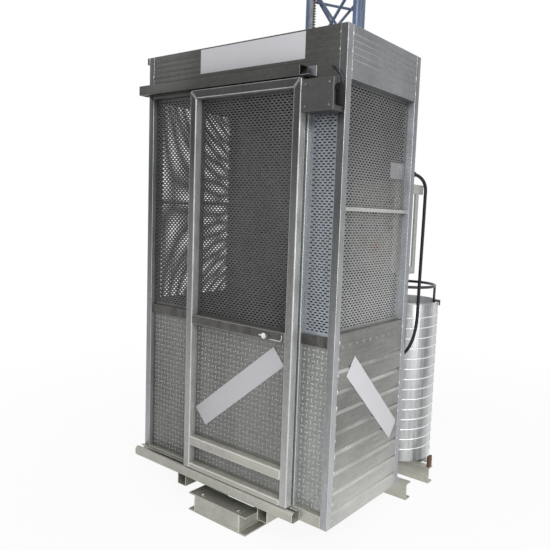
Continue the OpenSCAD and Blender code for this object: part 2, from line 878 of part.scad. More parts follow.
module front_meshes() {
    z = kick_rail_z + rail_h;
    color(sheet_grey) {
        translate([-in_x, sheet_y, z]) perforated(in_x + jamb_l0, front_header_z - z);
        translate([jamb_r0 + jamb_w, sheet_y, z]) perforated(in_x - jamb_r0 - jamb_w, front_header_z - z);
    }
}

module front_treads() {
    color(sheet_grey) {
        block(-in_x, jamb_l0, sheet_y, sheet_y + mesh_t, floor_z, kick_rail_z);
        block(jamb_r0 + jamb_w, in_x, sheet_y, sheet_y + mesh_t, floor_z, kick_rail_z);
    }
}

module top_track() {
    color(galvanised) difference() {
        block(track_x0, track_x1, car_front_y - track_d, car_front_y, track_z0, track_z0 + track_h);
        block(track_x0 + track_wall, track_x1 + eps, car_front_y - track_d + track_wall,
              car_front_y - track_wall, track_z0 + track_wall, track_z0 + track_h - track_wall);
        block(track_x0 + track_wall, track_x1 + eps, track_mid_y - track_slot / 2, track_mid_y + track_slot / 2,
              track_z0 - eps, track_z0 + track_wall + eps);
    }
}

// Section of the bottom track: a rounded nose to the front, an open slot on top
module sill_section(inset) {
    r = sill_track_r - inset;
    translate([-track_d + inset, inset]) union() {
        translate([r, 0]) square([track_d - 2 * inset - r, sill_track_h - 2 * inset]);
        translate([0, r]) square([r + eps, sill_track_h - 2 * inset - 2 * r]);
        for (z = [r, sill_track_h - 2 * inset - r])
            translate([r, z]) circle(r = r);
    }
}

module bottom_track() {
    color(galvanised) translate([track_x0, car_front_y, car_z]) rotate([90, 0, 90])
    linear_extrude(sill_x1 - track_x0) difference() {
        sill_section(0);
        sill_section(track_wall);
        translate([-track_d / 2 - track_slot / 2, sill_track_h - 2 * track_wall])
            square([track_slot, 3 * track_wall]);
    }
}

// The bent plate that closes the top track's end and holds it to the header
module track_bracket() {
    t = 4;
    x0 = track_x1 + weld_gap;
    x1 = track_x1 + 52;
    color("white") union() {
        block(x0, x1, car_front_y - t, car_front_y, track_z0, track_z0 + track_h);
        block(x0, x1, car_front_y - track_d, car_front_y, track_z0, track_z0 + t);
    }
}

module lock_box() {
    screw_r = 5;
    inset = 22;
    y0 = car_front_y - lock_d;
    color(galvanised) {
        difference() {
            block(lock_x0, lock_x0 + lock_w, y0, car_front_y, lock_z0, lock_z1);
            block(lock_x0 + 3, lock_x0 + lock_w - 3, y0 + 3, car_front_y + eps, lock_z0 + 3, lock_z1 - 3);
        }
        for (x = [inset, lock_w - inset], z = [inset, lock_h - inset])
            along_y(lock_x0 + x, y0 - 3 - weld_gap, lock_z0 + z, screw_r, 3);
    }
}

module limit_switch() {
    x0 = lock_x0 + lock_w;
    color(black) union() {
        block(x0, x0 + switch_w, switch_y0, switch_y0 + switch_d, switch_z0, switch_z0 + switch_h);
        along_y(x0 + switch_w / 2, switch_y0 - 8, switch_z0 + switch_h - 20, 9, 9);
        translate([x0 + switch_w / 2, switch_y0 + switch_d / 2, switch_z0 + switch_h - eps])
            cylinder(r = 8, h = 7);
    }
}

// Points of a smooth curve through the given ones
function spline(p, i, t) = let (
        a = p[max(i - 1, 0)], b = p[i], c = p[i + 1], d = p[min(i + 2, len(p) - 1)]
    ) 0.5 * (2 * b + (c - a) * t + (2 * a - 5 * b + 4 * c - d) * t * t + (3 * b - a - 3 * c + d) * t * t * t);

function curve(p, steps) = concat(
    [for (i = [0 : len(p) - 2], k = [0 : steps - 1]) spline(p, i, k / steps)], [p[len(p) - 1]]);

function unit(v) = v / norm(v);

// One ring of points round each point of a path
function path_rings(p, r, n) = [for (i = [0 : len(p) - 1]) let (
        along = unit(p[min(i + 1, len(p) - 1)] - p[max(i - 1, 0)]),
        across = unit(cross(along, abs(along[0]) > 0.9 ? [0, 1, 0] : [1, 0, 0])),
        third = cross(along, across)
    ) [for (j = [0 : n - 1]) p[i] + r * (cos(360 * j / n) * third + sin(360 * j / n) * across)]];

module switch_lead() {
    color(black) tube_of(path_rings(curve(switch_points, 2), lead_r, 8));
}

module control_cabinet() {
    lip = 8;
    color(beige) union() {
        difference() {
            block(cab_x0, cab_x1, cab_y0, in_rear_y, cab_z0, cab_z0 + cab_h);
            block(cab_x0 + fold_t, cab_x1 - fold_t, cab_y0 + fold_t, in_rear_y + eps,
                  cab_z0 + fold_t, cab_z0 + cab_h - fold_t);
        }
        block(cab_x0 + lip, cab_x1 - lip, cab_y0 - 3, cab_y0 + eps, cab_z0 + lip, cab_z0 + cab_h - lip);
    }
}

// Collars that guide the buttons, the plate behind the stop button and the fixed lamps
module button_collars() {
    y = cab_y0 - 3;
    bore = key_r * 0.6;
    color(dark) {
        for (k = [0, 1])
            difference() {
                along_y(key_x + k * key_dx, y - collar_h, key_z - key_dz, key_r + 3, collar_h);
                along_y(key_x + k * key_dx, y - collar_h - eps, key_z - key_dz, bore, collar_h + 2 * eps);
            }
        difference() {
            along_y(stop_x, y - collar_h, stop_z, stop_plate_r, collar_h);
            along_y(stop_x, y - collar_h - eps, stop_z, bore, collar_h + 2 * eps);
        }
        for (k = [0, 2], row = [0, 2])
            along_y(key_x + k * key_dx, y - collar_h, key_z - row * key_dz, key_r, collar_h);
        along_y(stop_x, y - collar_h, key_z - 2 * key_dz, key_r, collar_h);
    }
}

// A push button: a cap and its stem, which slides in the collar
module push_button(x, z, cap_r, cap_h) {
    y = cab_y0 - 3;
    stem = key_r * 0.6 - run_gap;
    union() {
        along_y(x, y - collar_h - key_travel - side_gap - cap_h, z, cap_r, cap_h);
        along_y(x, y - collar_h - key_travel - side_gap - eps, z, stem, collar_h - side_gap + eps);
    }
}

module stop_button() { color("red") push_button(stop_x, stop_z, stop_r, 16); }

module up_button() { color("green") push_button(key_x, key_z - key_dz, key_r, 8); }

module down_button() { color(black) push_button(key_x + key_dx, key_z - key_dz, key_r, 8); }

// The bent bar behind the car's rear corner that keeps the cable off the mast
module cable_bracket() {
    t = 14;
    top = upper_gland[2] - arm_drop;
    low = top - bracket_h;
    x1 = car_x;
    color(beige) union() {
        block(x1 - t, x1, car_rear_y, car_rear_y + arm_l, top - arm_h, top);
        block(x1 - t, x1, car_rear_y + 34, car_rear_y + 62, low, top - arm_h + eps);
        block(x1 - t, x1, car_rear_y, car_rear_y + 62, low, low + 40);
    }
}

// A gland with a hexagon foot and a round nut, along its own Z
module gland() {
    difference() {
        union() {
            cylinder(r = gland_r + 3, h = 8, $fn = 6);
            translate([0, 0, 8]) cylinder(r = gland_r, h = gland_l - 8);
        }
        translate([0, 0, gland_l - 10]) cylinder(r = cable_r + gland_bore, h = 10 + eps);
    }
}

module cable_glands() {
    color(black) {
        translate(upper_gland) rotate([-90, 0, 0]) gland();
        translate(lower_gland) rotate([0, 90, 0]) gland();
    }
}

module junction_box() {
    y0 = in_rear_y + rear_sheet + 10;
    color("gray") union() {
        block(box_x1 - box_w, box_x1, y0, y0 + box_d, box_z0, box_z0 + box_h);
        block(box_x1 - box_w - 4, box_x1, y0 + box_d - 18, y0 + box_d + 4, box_z0 - 4, box_z0 + box_h + 4);
        for (x = [0.2, 0.8])
            along_y(box_x1 - box_w * x, in_rear_y + rear_sheet, box_z0 + box_h / 2, 12, 10 + eps);
    }
}

module supply_cable() {
    color(black) tube_of(path_rings(curve(cable_points, cable_steps), cable_r, cable_sides));
}

module drive_rails() {
    w = drive_rail_w;
    wall = drive_rail_wall;
    z0 = car_z + drive_rail_cut;
    z1 = car_top - drive_rail_cut;
    color(dark)
    for (x = [-roller_x - w / 2, roller_x - w / 2])
        difference() {
            block(x, x + w, car_rear_y, drive_rail_y1, z0, z1);
            block(x + wall, x + w - wall, car_rear_y + wall, drive_rail_y1 - wall, z0 - eps, z1 + eps);
        }
}

// Plates between the drive rails that carry the gearbox and the safety gear
module drive_plates() {
    color(dark)
    for (z = [drive_z, safety_z])
        difference() {
            block(-drive_rail_in, drive_rail_in, plate_y0, drive_rail_y1, z - plate_half, z + plate_half);
            along_y(pinion_x, plate_y0 - eps, z, shaft_r + 6, plate_t + 2 * eps);
        }
}

module gearbox() {
    color("steelblue") difference() {
        union() {
            block(pinion_x - gear_w / 2, pinion_x + gear_w / 2, gear_y0, plate_y0, drive_z - gear_h / 2, drive_z + 60);
            translate([motor_x, motor_y, drive_z + 60 - eps]) cylinder(r = 34, h = gear_h / 2 - 60 + eps);
        }
        along_y(pinion_x, gear_y0 + 12, drive_z, shaft_r + run_gap, plate_y0 - gear_y0);
    }
}

// A vertical motor with cooling fins, a fan cowl and a terminal box
module motor() {
    z0 = drive_z + gear_h / 2;
    fin_t = 4;
    fin_n = 12;
    cowl_h = 54;
    color("steelblue") translate([motor_x, motor_y, z0]) union() {
        cylinder(r = motor_r - 12, h = 12);
        translate([0, 0, 12 - eps]) cylinder(r = motor_r - motor_fin, h = motor_h - 12);
        for (k = [0 : fin_n - 1])
            rotate(360 * k / fin_n) translate([0, -fin_t / 2, 30])
                cube([motor_r, fin_t, motor_h - cowl_h - 30 - 10]);
        translate([0, 0, motor_h - cowl_h]) cylinder(r = motor_r, h = cowl_h);
        translate([motor_r - motor_fin - 8, -terminal[1] / 2, terminal_z]) cube(terminal);
    }
}

module safety_gear() {
    color("firebrick") difference() {
        union() {
            along_y(pinion_x, gear_y0, safety_z, governor_r, plate_y0 - gear_y0);
            block(pinion_x - governor_r, pinion_x + governor_r, gear_y0 + 20, plate_y0,
                  safety_z - plate_half + 6, safety_z);
        }
        along_y(pinion_x, gear_y0 + 12, safety_z, shaft_r + run_gap, plate_y0 - gear_y0);
    }
}

// Roller centres on the car: left and right, low and high
function roller_z(high) = car_z + (high ? roller_high : roller_low);

module roller_axles() {
    color(galvanised)
    for (x = [-roller_x, roller_x], high = [false, true]) {
        inner = mast_y - roller_w / 2 - side_gap;
        outer = mast_y + roller_w / 2 + side_gap;
        union() {
            along_y(x, drive_rail_y1, roller_z(high), axle_r + 8, inner - drive_rail_y1);
            along_y(x, inner - eps, roller_z(high), axle_r, outer - inner + 2 * eps);
            along_y(x, outer, roller_z(high), axle_r + 6, 8);
        }
    }
}

// A roller with a round groove that takes a mast leg
module guide_roller(x, high) {
    groove = leg_r + side_gap;
    flange = roller_r + groove - sqrt(pow(groove, 2) - pow(roller_w / 2 - 4, 2));
    color(black) translate([x, mast_y, roller_z(high)]) rotate([90, 0, 0]) rotate_extrude() difference() {
        translate([axle_r + run_gap, -roller_w / 2]) square([flange - axle_r, roller_w]);
        translate([roller_r + groove, 0]) circle(r = groove);
    }
}

module roller_low_left() { guide_roller(-roller_x, false); }

module roller_low_right() { guide_roller(roller_x, false); }

module roller_high_left() { guide_roller(-roller_x, true); }

module roller_high_right() { guide_roller(roller_x, true); }

// Polar point of an involute that starts at the base circle
function involute(r) = let (t = acos(pinion_base_r / r)) tan(t) * 180 / PI - t;

// Outline of a pinion tooth that points along angle a
function pinion_tooth(a) = let (
        steps = 5,
        half = 90 / pinion_teeth - backlash / 4 / pinion_pitch_r * 180 / PI + involute(pinion_pitch_r),
        radii = [for (k = [0 : steps]) pinion_base_r + (pinion_tip_r - pinion_base_r) * k / steps],
        rise = [for (r = radii) [r, half - involute(r)]]
    ) [for (p = concat([[pinion_root_r, half]], rise, [for (k = [steps : -1 : 0]) [rise[k][0], -rise[k][1]]],
                       [[pinion_root_r, -half]]))
        p[0] * [cos(a - p[1]), sin(a - p[1])]];

module pinion(z) {
    y1 = rack_y + pinion_w / 2;
    shaft_y0 = gear_y0 + 12 + side_gap;
    color(galvanised) union() {
        translate([pinion_x, y1, z]) rotate([90, 0, 0]) linear_extrude(pinion_w)
            polygon([for (k = [0 : pinion_teeth - 1]) each pinion_tooth(180 + 360 * k / pinion_teeth)]);
        along_y(pinion_x, shaft_y0, z, shaft_r, y1 - pinion_w + eps - shaft_y0);
    }
}

module drive_pinion() { pinion(drive_z); }

module safety_pinion() { pinion(safety_z); }

// One cross member of the door's frame
module door_bar(x0, x1, z0, z1) { tube_x(x0, x1, door_y0, door_y1, z0, z1); }

module door_frame() {
    x0 = door_x0 + stile_w + weld_gap;
    x1 = door_x1 - stile_w - weld_gap;
    color(galvanised) {
        for (x = [door_x0, door_x1 - stile_w])
            difference() {
                block(x, x + stile_w, door_y0, door_y1, door_z0, door_z1);
                block(x + post_wall, x + stile_w - post_wall, door_y0 + post_wall, door_y1 - post_wall,
                      door_z0 - eps, door_z1 + eps);
            }
        door_bar(x0, x1, door_z1 - stile_w, door_z1);
        door_bar(x0, x1, door_z0, door_z0 + foot_rail_h);
        for (z = [kick_rail_z, car_z + low_rail_z])
            door_bar(x0, x1, z, z + rail_h);
    }
}

// The door's perforated sheet and its two tread plates, at the rear of the frame
module door_panels() {
    x0 = door_x0 + stile_w;
    w = door_w - 2 * stile_w;
    y = door_y1 - mesh_t;
    low = car_z + low_rail_z;
    color(sheet_grey) {
        translate([x0, y, kick_rail_z + rail_h]) perforated(w, door_z1 - stile_w - kick_rail_z - rail_h);
        block(x0, x0 + w, y, door_y1, low + rail_h, kick_rail_z);
        block(x0, x0 + w, y, door_y1, door_z0 + foot_rail_h, low);
    }
}

// Hangers with the wheels' pins, guide shoes and the latch plate with its boss
module door_fittings() {
    cap_t = 2;
    reach = wheel_off + wheel_w + side_gap;
    boss_y0 = door_y0 - latch_t - boss_l;
    color(galvanised) {
        for (x = hanger_x) {
            union() {
                block(x - hanger_w / 2, x + hanger_w / 2, track_mid_y - hanger_t / 2, track_mid_y + hanger_t / 2,
                      door_z1, wheel_z + 12);
                along_y(x, track_mid_y - reach, wheel_z, pin_r, 2 * reach);
                along_y(x, track_mid_y - reach - cap_t, wheel_z, pin_r + 3, cap_t);
                along_y(x, track_mid_y + reach, wheel_z, pin_r + 3, cap_t);
            }
            block(x - shoe_l / 2, x + shoe_l / 2, track_mid_y - shoe_t / 2, track_mid_y + shoe_t / 2,
                  door_z0 - shoe_drop, door_z0);
        }
        difference() {
            union() {
                block(latch_x1 - latch_l, latch_x1, door_y0 - latch_t, door_y0,
                      latch_z - latch_h / 2, latch_z + latch_h / 2);
                along_y(knob_x, boss_y0, latch_z, spindle_r + 6, boss_l + eps);
                along_y(knob_x + 52, door_y0 - latch_t - 5, latch_z + 9, 6, 5 + eps);
            }
            along_y(knob_x, boss_y0 - eps, latch_z, spindle_r + run_gap, boss_l + latch_t + 2 * eps);
        }
    }
}

// Two wheels on one hanger, on either side of its plate, which roll on the track's lips
module hanger_wheels(x) {
    color(black)
    for (y = [track_mid_y - wheel_off - wheel_w, track_mid_y + wheel_off])
        difference() {
            along_y(x, y, wheel_z, wheel_r, wheel_w);
            along_y(x, y - eps, wheel_z, pin_r + run_gap, wheel_w + 2 * eps);
        }
}

module hanger_wheels_left() { hanger_wheels(hanger_x[0]); }

module hanger_wheels_right() { hanger_wheels(hanger_x[1]); }

// A knob with a short lever, on a spindle in the latch plate's boss
module latch_handle() {
    y1 = door_y0 - latch_t - boss_l - side_gap;
    lever_l = 34;
    lever_t = 7;
    color("white") union() {
        along_y(knob_x, y1 - knob_l, latch_z, knob_r, knob_l);
        along_y(knob_x, y1 - eps, latch_z, spindle_r, boss_l + latch_t + eps);
        block(knob_x - lever_l, knob_x, y1 - knob_l + 4, y1 - knob_l + 4 + lever_t,
              latch_z - lever_t / 2, latch_z + lever_t / 2);
    }
}

long_channels();
front_plate();
cross_channels();
link_channels();
buffers();
mast_plate();
mast_lower();
mast_upper();
mast_bolts();
racks();
cable_drum();
drum_seam();
guide_ring();
stop_block();
floor_bearers();
floor_frame();
floor_plate();
corner_posts();
headers();
roof_sheet();
lower_panels();
rear_panel();
side_meshes();
waist_rails();
front_jambs();
front_meshes();
front_treads();
top_track();
bottom_track();
track_bracket();
lock_box();
limit_switch();
switch_lead();
control_cabinet();
button_collars();
cable_bracket();
cable_glands();
junction_box();
supply_cable();
drive_rails();
drive_plates();
gearbox();
motor();
safety_gear();
roller_axles();
drive_pinion();
safety_pinion();
roller_low_left();
roller_low_right();
roller_high_left();
roller_high_right();
stop_button();
up_button();
down_button();
door_frame();
door_panels();
door_fittings();
hanger_wheels_left();
hanger_wheels_right();
latch_handle();
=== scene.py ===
"""Looks of a rack and pinion hoist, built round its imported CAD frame.

The hoist is an enclosed car of galvanised sheet on a triangular mast, with a spiral-seamed cable bin
behind it. All sizes are in metres, in the frame's own axes: X runs along the car's front, Y to the
rear and Z up, and the origin is the centre of the anchor holes.
"""

from __future__ import annotations

import json
import logging
import math
from dataclasses import dataclass, field
from enum import Enum
from functools import reduce
from typing import Any, Callable, Sequence

import bmesh
import bpy
from mathutils import Matrix, Vector

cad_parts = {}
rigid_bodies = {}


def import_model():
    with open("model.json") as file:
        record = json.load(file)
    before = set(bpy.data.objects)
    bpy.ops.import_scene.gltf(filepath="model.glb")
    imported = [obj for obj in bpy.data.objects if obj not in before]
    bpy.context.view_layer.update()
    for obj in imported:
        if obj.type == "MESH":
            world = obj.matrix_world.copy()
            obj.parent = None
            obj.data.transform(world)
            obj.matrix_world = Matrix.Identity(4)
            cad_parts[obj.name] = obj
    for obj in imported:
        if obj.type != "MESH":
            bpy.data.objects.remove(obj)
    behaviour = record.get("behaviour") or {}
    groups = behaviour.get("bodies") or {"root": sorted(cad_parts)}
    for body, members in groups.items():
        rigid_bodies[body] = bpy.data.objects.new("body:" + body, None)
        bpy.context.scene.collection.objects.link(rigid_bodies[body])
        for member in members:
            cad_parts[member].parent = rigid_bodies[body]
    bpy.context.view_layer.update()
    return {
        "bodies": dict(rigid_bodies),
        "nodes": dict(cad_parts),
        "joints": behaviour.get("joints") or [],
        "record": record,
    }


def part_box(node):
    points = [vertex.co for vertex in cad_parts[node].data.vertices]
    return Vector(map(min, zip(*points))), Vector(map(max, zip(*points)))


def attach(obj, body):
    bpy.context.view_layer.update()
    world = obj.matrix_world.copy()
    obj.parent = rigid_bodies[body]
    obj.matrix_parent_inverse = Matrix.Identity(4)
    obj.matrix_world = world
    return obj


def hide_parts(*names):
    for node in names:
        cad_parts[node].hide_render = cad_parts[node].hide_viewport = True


LOG = logging.getLogger("hoist")
# The face attribute of coats made bright: part wear, part painted highlight and painted light.
WEAR_AND_HIGHLIGHT = "worn"
SAME_SPOT = 1e-6
QUARTER = math.pi / 2
SIDEWAYS = (0.0, QUARTER, 0.0)
BMesh, BMVert = bmesh.types.BMesh, bmesh.types.BMVert
Material, Mesh, Object, Socket = bpy.types.Material, bpy.types.Mesh, bpy.types.Object, bpy.types.NodeSocket
Pair = tuple[float, float]
Point = tuple[float, float, float]
Colour = tuple[float, float, float]


class Axis(Enum):
    """The direction in which a sheet was rolled or a bar was drawn, as the scale of its streaks."""

    NONE = (1.0, 1.0, 1.0)
    X = (0.03, 1.0, 1.0)
    Y = (1.0, 0.03, 1.0)
    Z = (1.0, 1.0, 0.03)


class Nodes:
    """A node tree with short names for what its users share."""

    def __init__(self, tree: bpy.types.NodeTree) -> None:
        """Take a tree that exists."""
        self.tree = tree

    def feed(self, socket: Socket, value: Any) -> None:
        """Link a socket to another one, or set its own value.

        Args:
            socket: the input socket.
            value: another node's output, or a constant.
        """
        if isinstance(value, Socket):
            self.tree.links.new(value, socket)
        else:
            socket.default_value = value

    def add(self, kind: str, inputs: dict[str | int, Any] | None = None, **settings: Any) -> bpy.types.Node:
        """Add a node.

        Args:
            kind: the node's type.
            inputs: what goes into its sockets, by their names or numbers.
            settings: the node's properties by name.

        Returns:
            The new node.
        """
        node = self.tree.nodes.new(kind)
        for key, value in settings.items():
            setattr(node, key, value)
        for key, value in (inputs or {}).items():
            self.feed(node.inputs[key], value)
        return node

    def math(self, operation: str, a: Any, b: Any = 0.0) -> Socket:
        """A sum, product or other value of two values or sockets."""
        return self.add("ShaderNodeMath", {0: a, 1: b}, operation=operation).outputs[0]

    def span(self, value: Socket, low: float, high: float, to_low: float, to_high: float) -> Socket:
        """A value moved from one span to another, and held inside it."""
        ends = {"From Min": low, "From Max": high, "To Min": to_low, "To Max": to_high}
        return self.add("ShaderNodeMapRange", {"Value": value, **ends}).outputs["Result"]


class Shader(Nodes):
    """A material in the making: a Principled shader on Object coordinates."""

    def __init__(self, name: str) -> None:
        """Start a material.

        Args:
            name: the material's name.
        """
        self.material = bpy.data.materials.new(name)
        self.material.use_nodes = True
        super().__init__(self.material.node_tree)
        self.coords = self.add("ShaderNodeTexCoord").outputs["Object"]

    def stretched(self, scale: Point, shift: Point = (0.0, 0.0, 0.0)) -> Socket:
        """Object coordinates, stretched along the axes and shifted."""
        inputs = {"Vector": self.coords, "Scale": scale, "Location": shift}
        return self.add("ShaderNodeMapping", inputs).outputs["Vector"]

    def noise(self, scale: float, detail: float, vector: Socket | None = None) -> Socket:
        """A cloudy value from 0 to 1, with so many clouds to a metre and so many finer layers."""
        inputs = {"Vector": vector or self.coords, "Scale": scale, "Detail": detail}
        return self.add("ShaderNodeTexNoise", inputs).outputs["Fac"]

    def cells(self, scale: float) -> Socket:
        """A random value for each crystal of a spangled coat."""
        cells = self.add("ShaderNodeTexVoronoi", {"Vector": self.coords, "Scale": scale})
        return self.add("ShaderNodeSeparateColor", {"Color": cells.outputs["Color"]}).outputs["Red"]

    def blend(self, *shares: tuple[Socket, float]) -> Socket:
        """The sum of values, each times its share."""
        parts = [self.math("MULTIPLY", value, share) for value, share in shares]
        return reduce(lambda a, b: self.math("ADD", a, b), parts)

    def mix(self, factor: Socket, a: Colour | Socket, b: Colour | Socket) -> Socket:
        """A colour between two colours: the first at 0 and the second at 1."""
        a, b = (colour if isinstance(colour, Socket) else (*colour, 1.0) for colour in (a, b))
        return self.add("ShaderNodeMix", {"Factor": factor, 6: a, 7: b}, data_type="RGBA").outputs[2]

    def shade(self, colour: Socket, value: Socket) -> Socket:
        """A colour made darker or lighter by a value."""
        inputs = {"Factor": 1.0, 6: colour, 7: value}
        return self.add("ShaderNodeMix", inputs, data_type="RGBA", blend_type="MULTIPLY").outputs[2]

    def place(self, axis: str) -> Socket:
        """The place along an axis of the frame, in metres."""
        return self.add("ShaderNodeSeparateXYZ", {0: self.coords}).outputs[axis]

    def worn(self) -> Socket:
        """How far the coat is made bright, part wear and part painted highlight: 1 on rounded edges and
        raised bars, and 0 on plain faces.
        """
        return self.add("ShaderNodeAttribute", attribute_name=WEAR_AND_HIGHLIGHT).outputs["Fac"]

    def bump(self, height: Socket, distance: float, strength: float) -> Socket:
        """A normal that a height field tilts, with its height in metres."""
        inputs = {"Height": height, "Distance": distance, "Strength": strength}
        return self.add("ShaderNodeBump", inputs).outputs["Normal"]

    def finish(self, sockets: dict[str, Any]) -> Material:
        """Fill the shader's sockets.

        Args:
            sockets: what goes into them, by their names.

        Returns:
            The finished material.
        """
        for name, value in sockets.items():
            self.feed(self.tree.nodes["Principled BSDF"].inputs[name], value)
        return self.material


def tint(colour: Colour, gain: float, lift: float = 0.0, most: float = 1.0) -> Colour:
    """A colour made lighter or darker, and held under a limit."""
    return tuple(min(most, c * gain + lift) for c in colour)


@dataclass(frozen=True)
class Zinc:
    """Galvanised steel: rolling streaks, faint crystals, clouds of tone, pale stains and bright edges.

    The clouds differ at random, and on the drum and the side panels they are painted reflection bands. The
    coat darkens to top between the heights of fade, a painted shade on the upper parts. Marked faces are made
    bright, part wear and part painted highlight; this weakens to wear_and_highlight_rear between the places
    along Y of wear_and_highlight_fade, which by default lie behind the whole hoist. Chalk and bright hold a
    gain, a lift and a limit of the colour.
    """

    name: str
    colour: Colour
    spread: float = 0.16
    roughness: float = 0.38
    rough_play: float = 0.08
    rough_span: Pair = (0.3, 0.7)
    metallic: float = 0.55
    gloss: float = 0.2
    spangle: float = 70.0
    crystal: float = 0.1
    grain: Axis = Axis.NONE
    streak_scale: float = 150.0
    streak_detail: float = 4.0
    streak_share: float = 0.28
    tone_span: Pair = (0.36, 0.64)
    drift: Point = (1.0, 1.0, 0.4)
    drift_scale: float = 2.6
    drift_detail: float = 3.0
    drift_shift: Point = (0.0, 0.0, 0.0)
    stain: float = 0.12
    stain_scale: float = 7.0
    stain_detail: float = 7.0
    stain_span: Pair = (0.56, 0.76)
    chalk: Point = (1.3, 0.04, 1.0)
    bright: Point = (1.7, 0.12, 0.92)
    wear_and_highlight_gain: float = 0.9
    patch_scale: float = 24.0
    patch_low: float = 0.62
    patch_span: Pair = (0.3, 0.65)
    fade: Pair = (0.2, 2.45)
    top: float = 1.0
    wear_and_highlight_fade: Pair = (8.0, 9.0)
    wear_and_highlight_rear: float = 0.3
    depth: float = 0.00015
    bumps: float = 0.6

    def material(self) -> Material:
        """Build the finish.

        Returns:
            Its material.
        """
        s = Shader(self.name)
        clouds = s.noise(self.drift_scale, self.drift_detail, s.stretched(self.drift, self.drift_shift))
        streaks = s.noise(self.streak_scale, self.streak_detail, s.stretched(self.grain.value))
        value = s.blend((s.cells(self.spangle), self.crystal),
                        (clouds, 1.0 - self.streak_share - self.crystal), (streaks, self.streak_share))
        tone = s.span(value, *self.tone_span, 0.0, 1.0)
        coat = s.mix(tone, tint(self.colour, 1.0 - self.spread), tint(self.colour, 1.0 + self.spread))
        stains = s.noise(self.stain_scale, self.stain_detail)
        pale = s.span(stains, *self.stain_span, 0.0, self.stain)
        coat = s.mix(pale, coat, tint(self.colour, *self.chalk))
        # Painted shade: the coat darkens towards the top between the heights of fade.
        coat = s.shade(coat, s.span(s.place("Z"), *self.fade, 1.0, self.top))
        # Marked faces are made bright in patches, part wear and part painted highlight.
        patches = s.noise(self.patch_scale, self.drift_detail, s.stretched(self.drift))
        sheen_and_wear = s.span(patches, *self.patch_span, self.patch_low * self.wear_and_highlight_gain, self.wear_and_highlight_gain)
        sheen_and_wear = s.math("MULTIPLY", sheen_and_wear, s.span(s.place("Y"), *self.wear_and_highlight_fade, 1.0, self.wear_and_highlight_rear))
        rough, play = self.roughness, self.rough_play
        return s.finish({
            "Base Color": s.mix(s.math("MULTIPLY", s.worn(), sheen_and_wear), coat, tint(self.colour, *self.bright)),
            "Metallic": self.metallic,
            "Specular IOR Level": self.gloss,
            "Roughness": s.span(value, *self.rough_span, rough + play, rough - play),
            "Normal": s.bump(streaks, self.depth, self.bumps),
        })


@dataclass(frozen=True)
class Coat:
    """An even finish with cloudy marks on it and a fine grain.

    Marked holds the gain and the lift of the colour under the marks, and roughness its least and most.
    """

    name: str
    colour: Colour
    roughness: Pair = (0.42, 0.6)
    rough_span: Pair = (0.3, 0.8)
    metallic: float = 0.0
    gloss: float = 0.5
    marks: float = 0.6
    marked: Pair = (0.8, 0.012)
    mark_scale: float = 26.0
    mark_detail: float = 6.0
    mark_span: Pair = (0.4, 0.75)
    grain: float = 900.0
    grain_detail: float = 2.0
    depth: float = 0.00012
    bumps: float = 0.5

    def material(self) -> Material:
        """Build the finish.

        Returns:
            Its material.
        """
        s = Shader(self.name)
        clouds = s.noise(self.mark_scale, self.mark_detail)
        marks = s.span(clouds, *self.mark_span, 0.0, self.marks)
        return s.finish({
            "Base Color": s.mix(marks, self.colour, tint(self.colour, *self.marked)),
            "Metallic": self.metallic,
            "Specular IOR Level": self.gloss,
            "Roughness": s.span(clouds, *self.rough_span, *self.roughness),
            "Normal": s.bump(s.noise(self.grain, self.grain_detail), self.depth, self.bumps),
        })


@dataclass(frozen=True)
class Moulded(Coat):
    """Moulded plastic or rubber with a faint bloom."""

    rough_span: Pair = (0.3, 0.75)


@dataclass(frozen=True)
class Paint(Coat):
    """Sprayed paint with a faint orange peel and dust."""

    roughness: Pair = (0.32, 0.52)
    marks: float = 0.16
    marked: Pair = (0.62, 0.14)
    mark_scale: float = 11.0
    mark_detail: float = 7.0
    mark_span: Pair = (0.45, 0.8)
    grain: float = 420.0
    depth: float = 0.0002
    bumps: float = 0.4


@dataclass(frozen=True)
class Plated(Coat):
    """Bright plated or machined steel with smudges and turning marks."""

    roughness: Pair = (0.112, 0.272)
    metallic: float = 0.95
    marks: float = 0.7
    marked: Pair = (0.72, 0.0)
    mark_scale: float = 34.0
    grain: float = 600.0
    depth: float = 0.00005
    bumps: float = 0.3


@dataclass(frozen=True)
class Timber:
    """Oiled hardwood with its grain along Z."""

    name: str
    light: Colour
    dark: Colour
    tone_span: Pair = (0.35, 0.7)
    roughness: Pair = (0.5, 0.75)
    rough_span: Pair = (0.3, 0.7)
    grain_scale: float = 90.0
    grain_detail: float = 6.0
    depth: float = 0.0006
    bumps: float = 0.6

    def material(self) -> Material:
        """Build the finish.

        Returns:
            Its material.
        """
        s = Shader(self.name)
        grain = s.noise(self.grain_scale, self.grain_detail, s.stretched(Axis.Z.value))
        return s.finish({
            "Base Color": s.mix(s.span(grain, *self.tone_span, 0.0, 1.0), self.dark, self.light),
            "Roughness": s.span(grain, *self.rough_span, *self.roughness),
            "Normal": s.bump(grain, self.depth, self.bumps),
        })
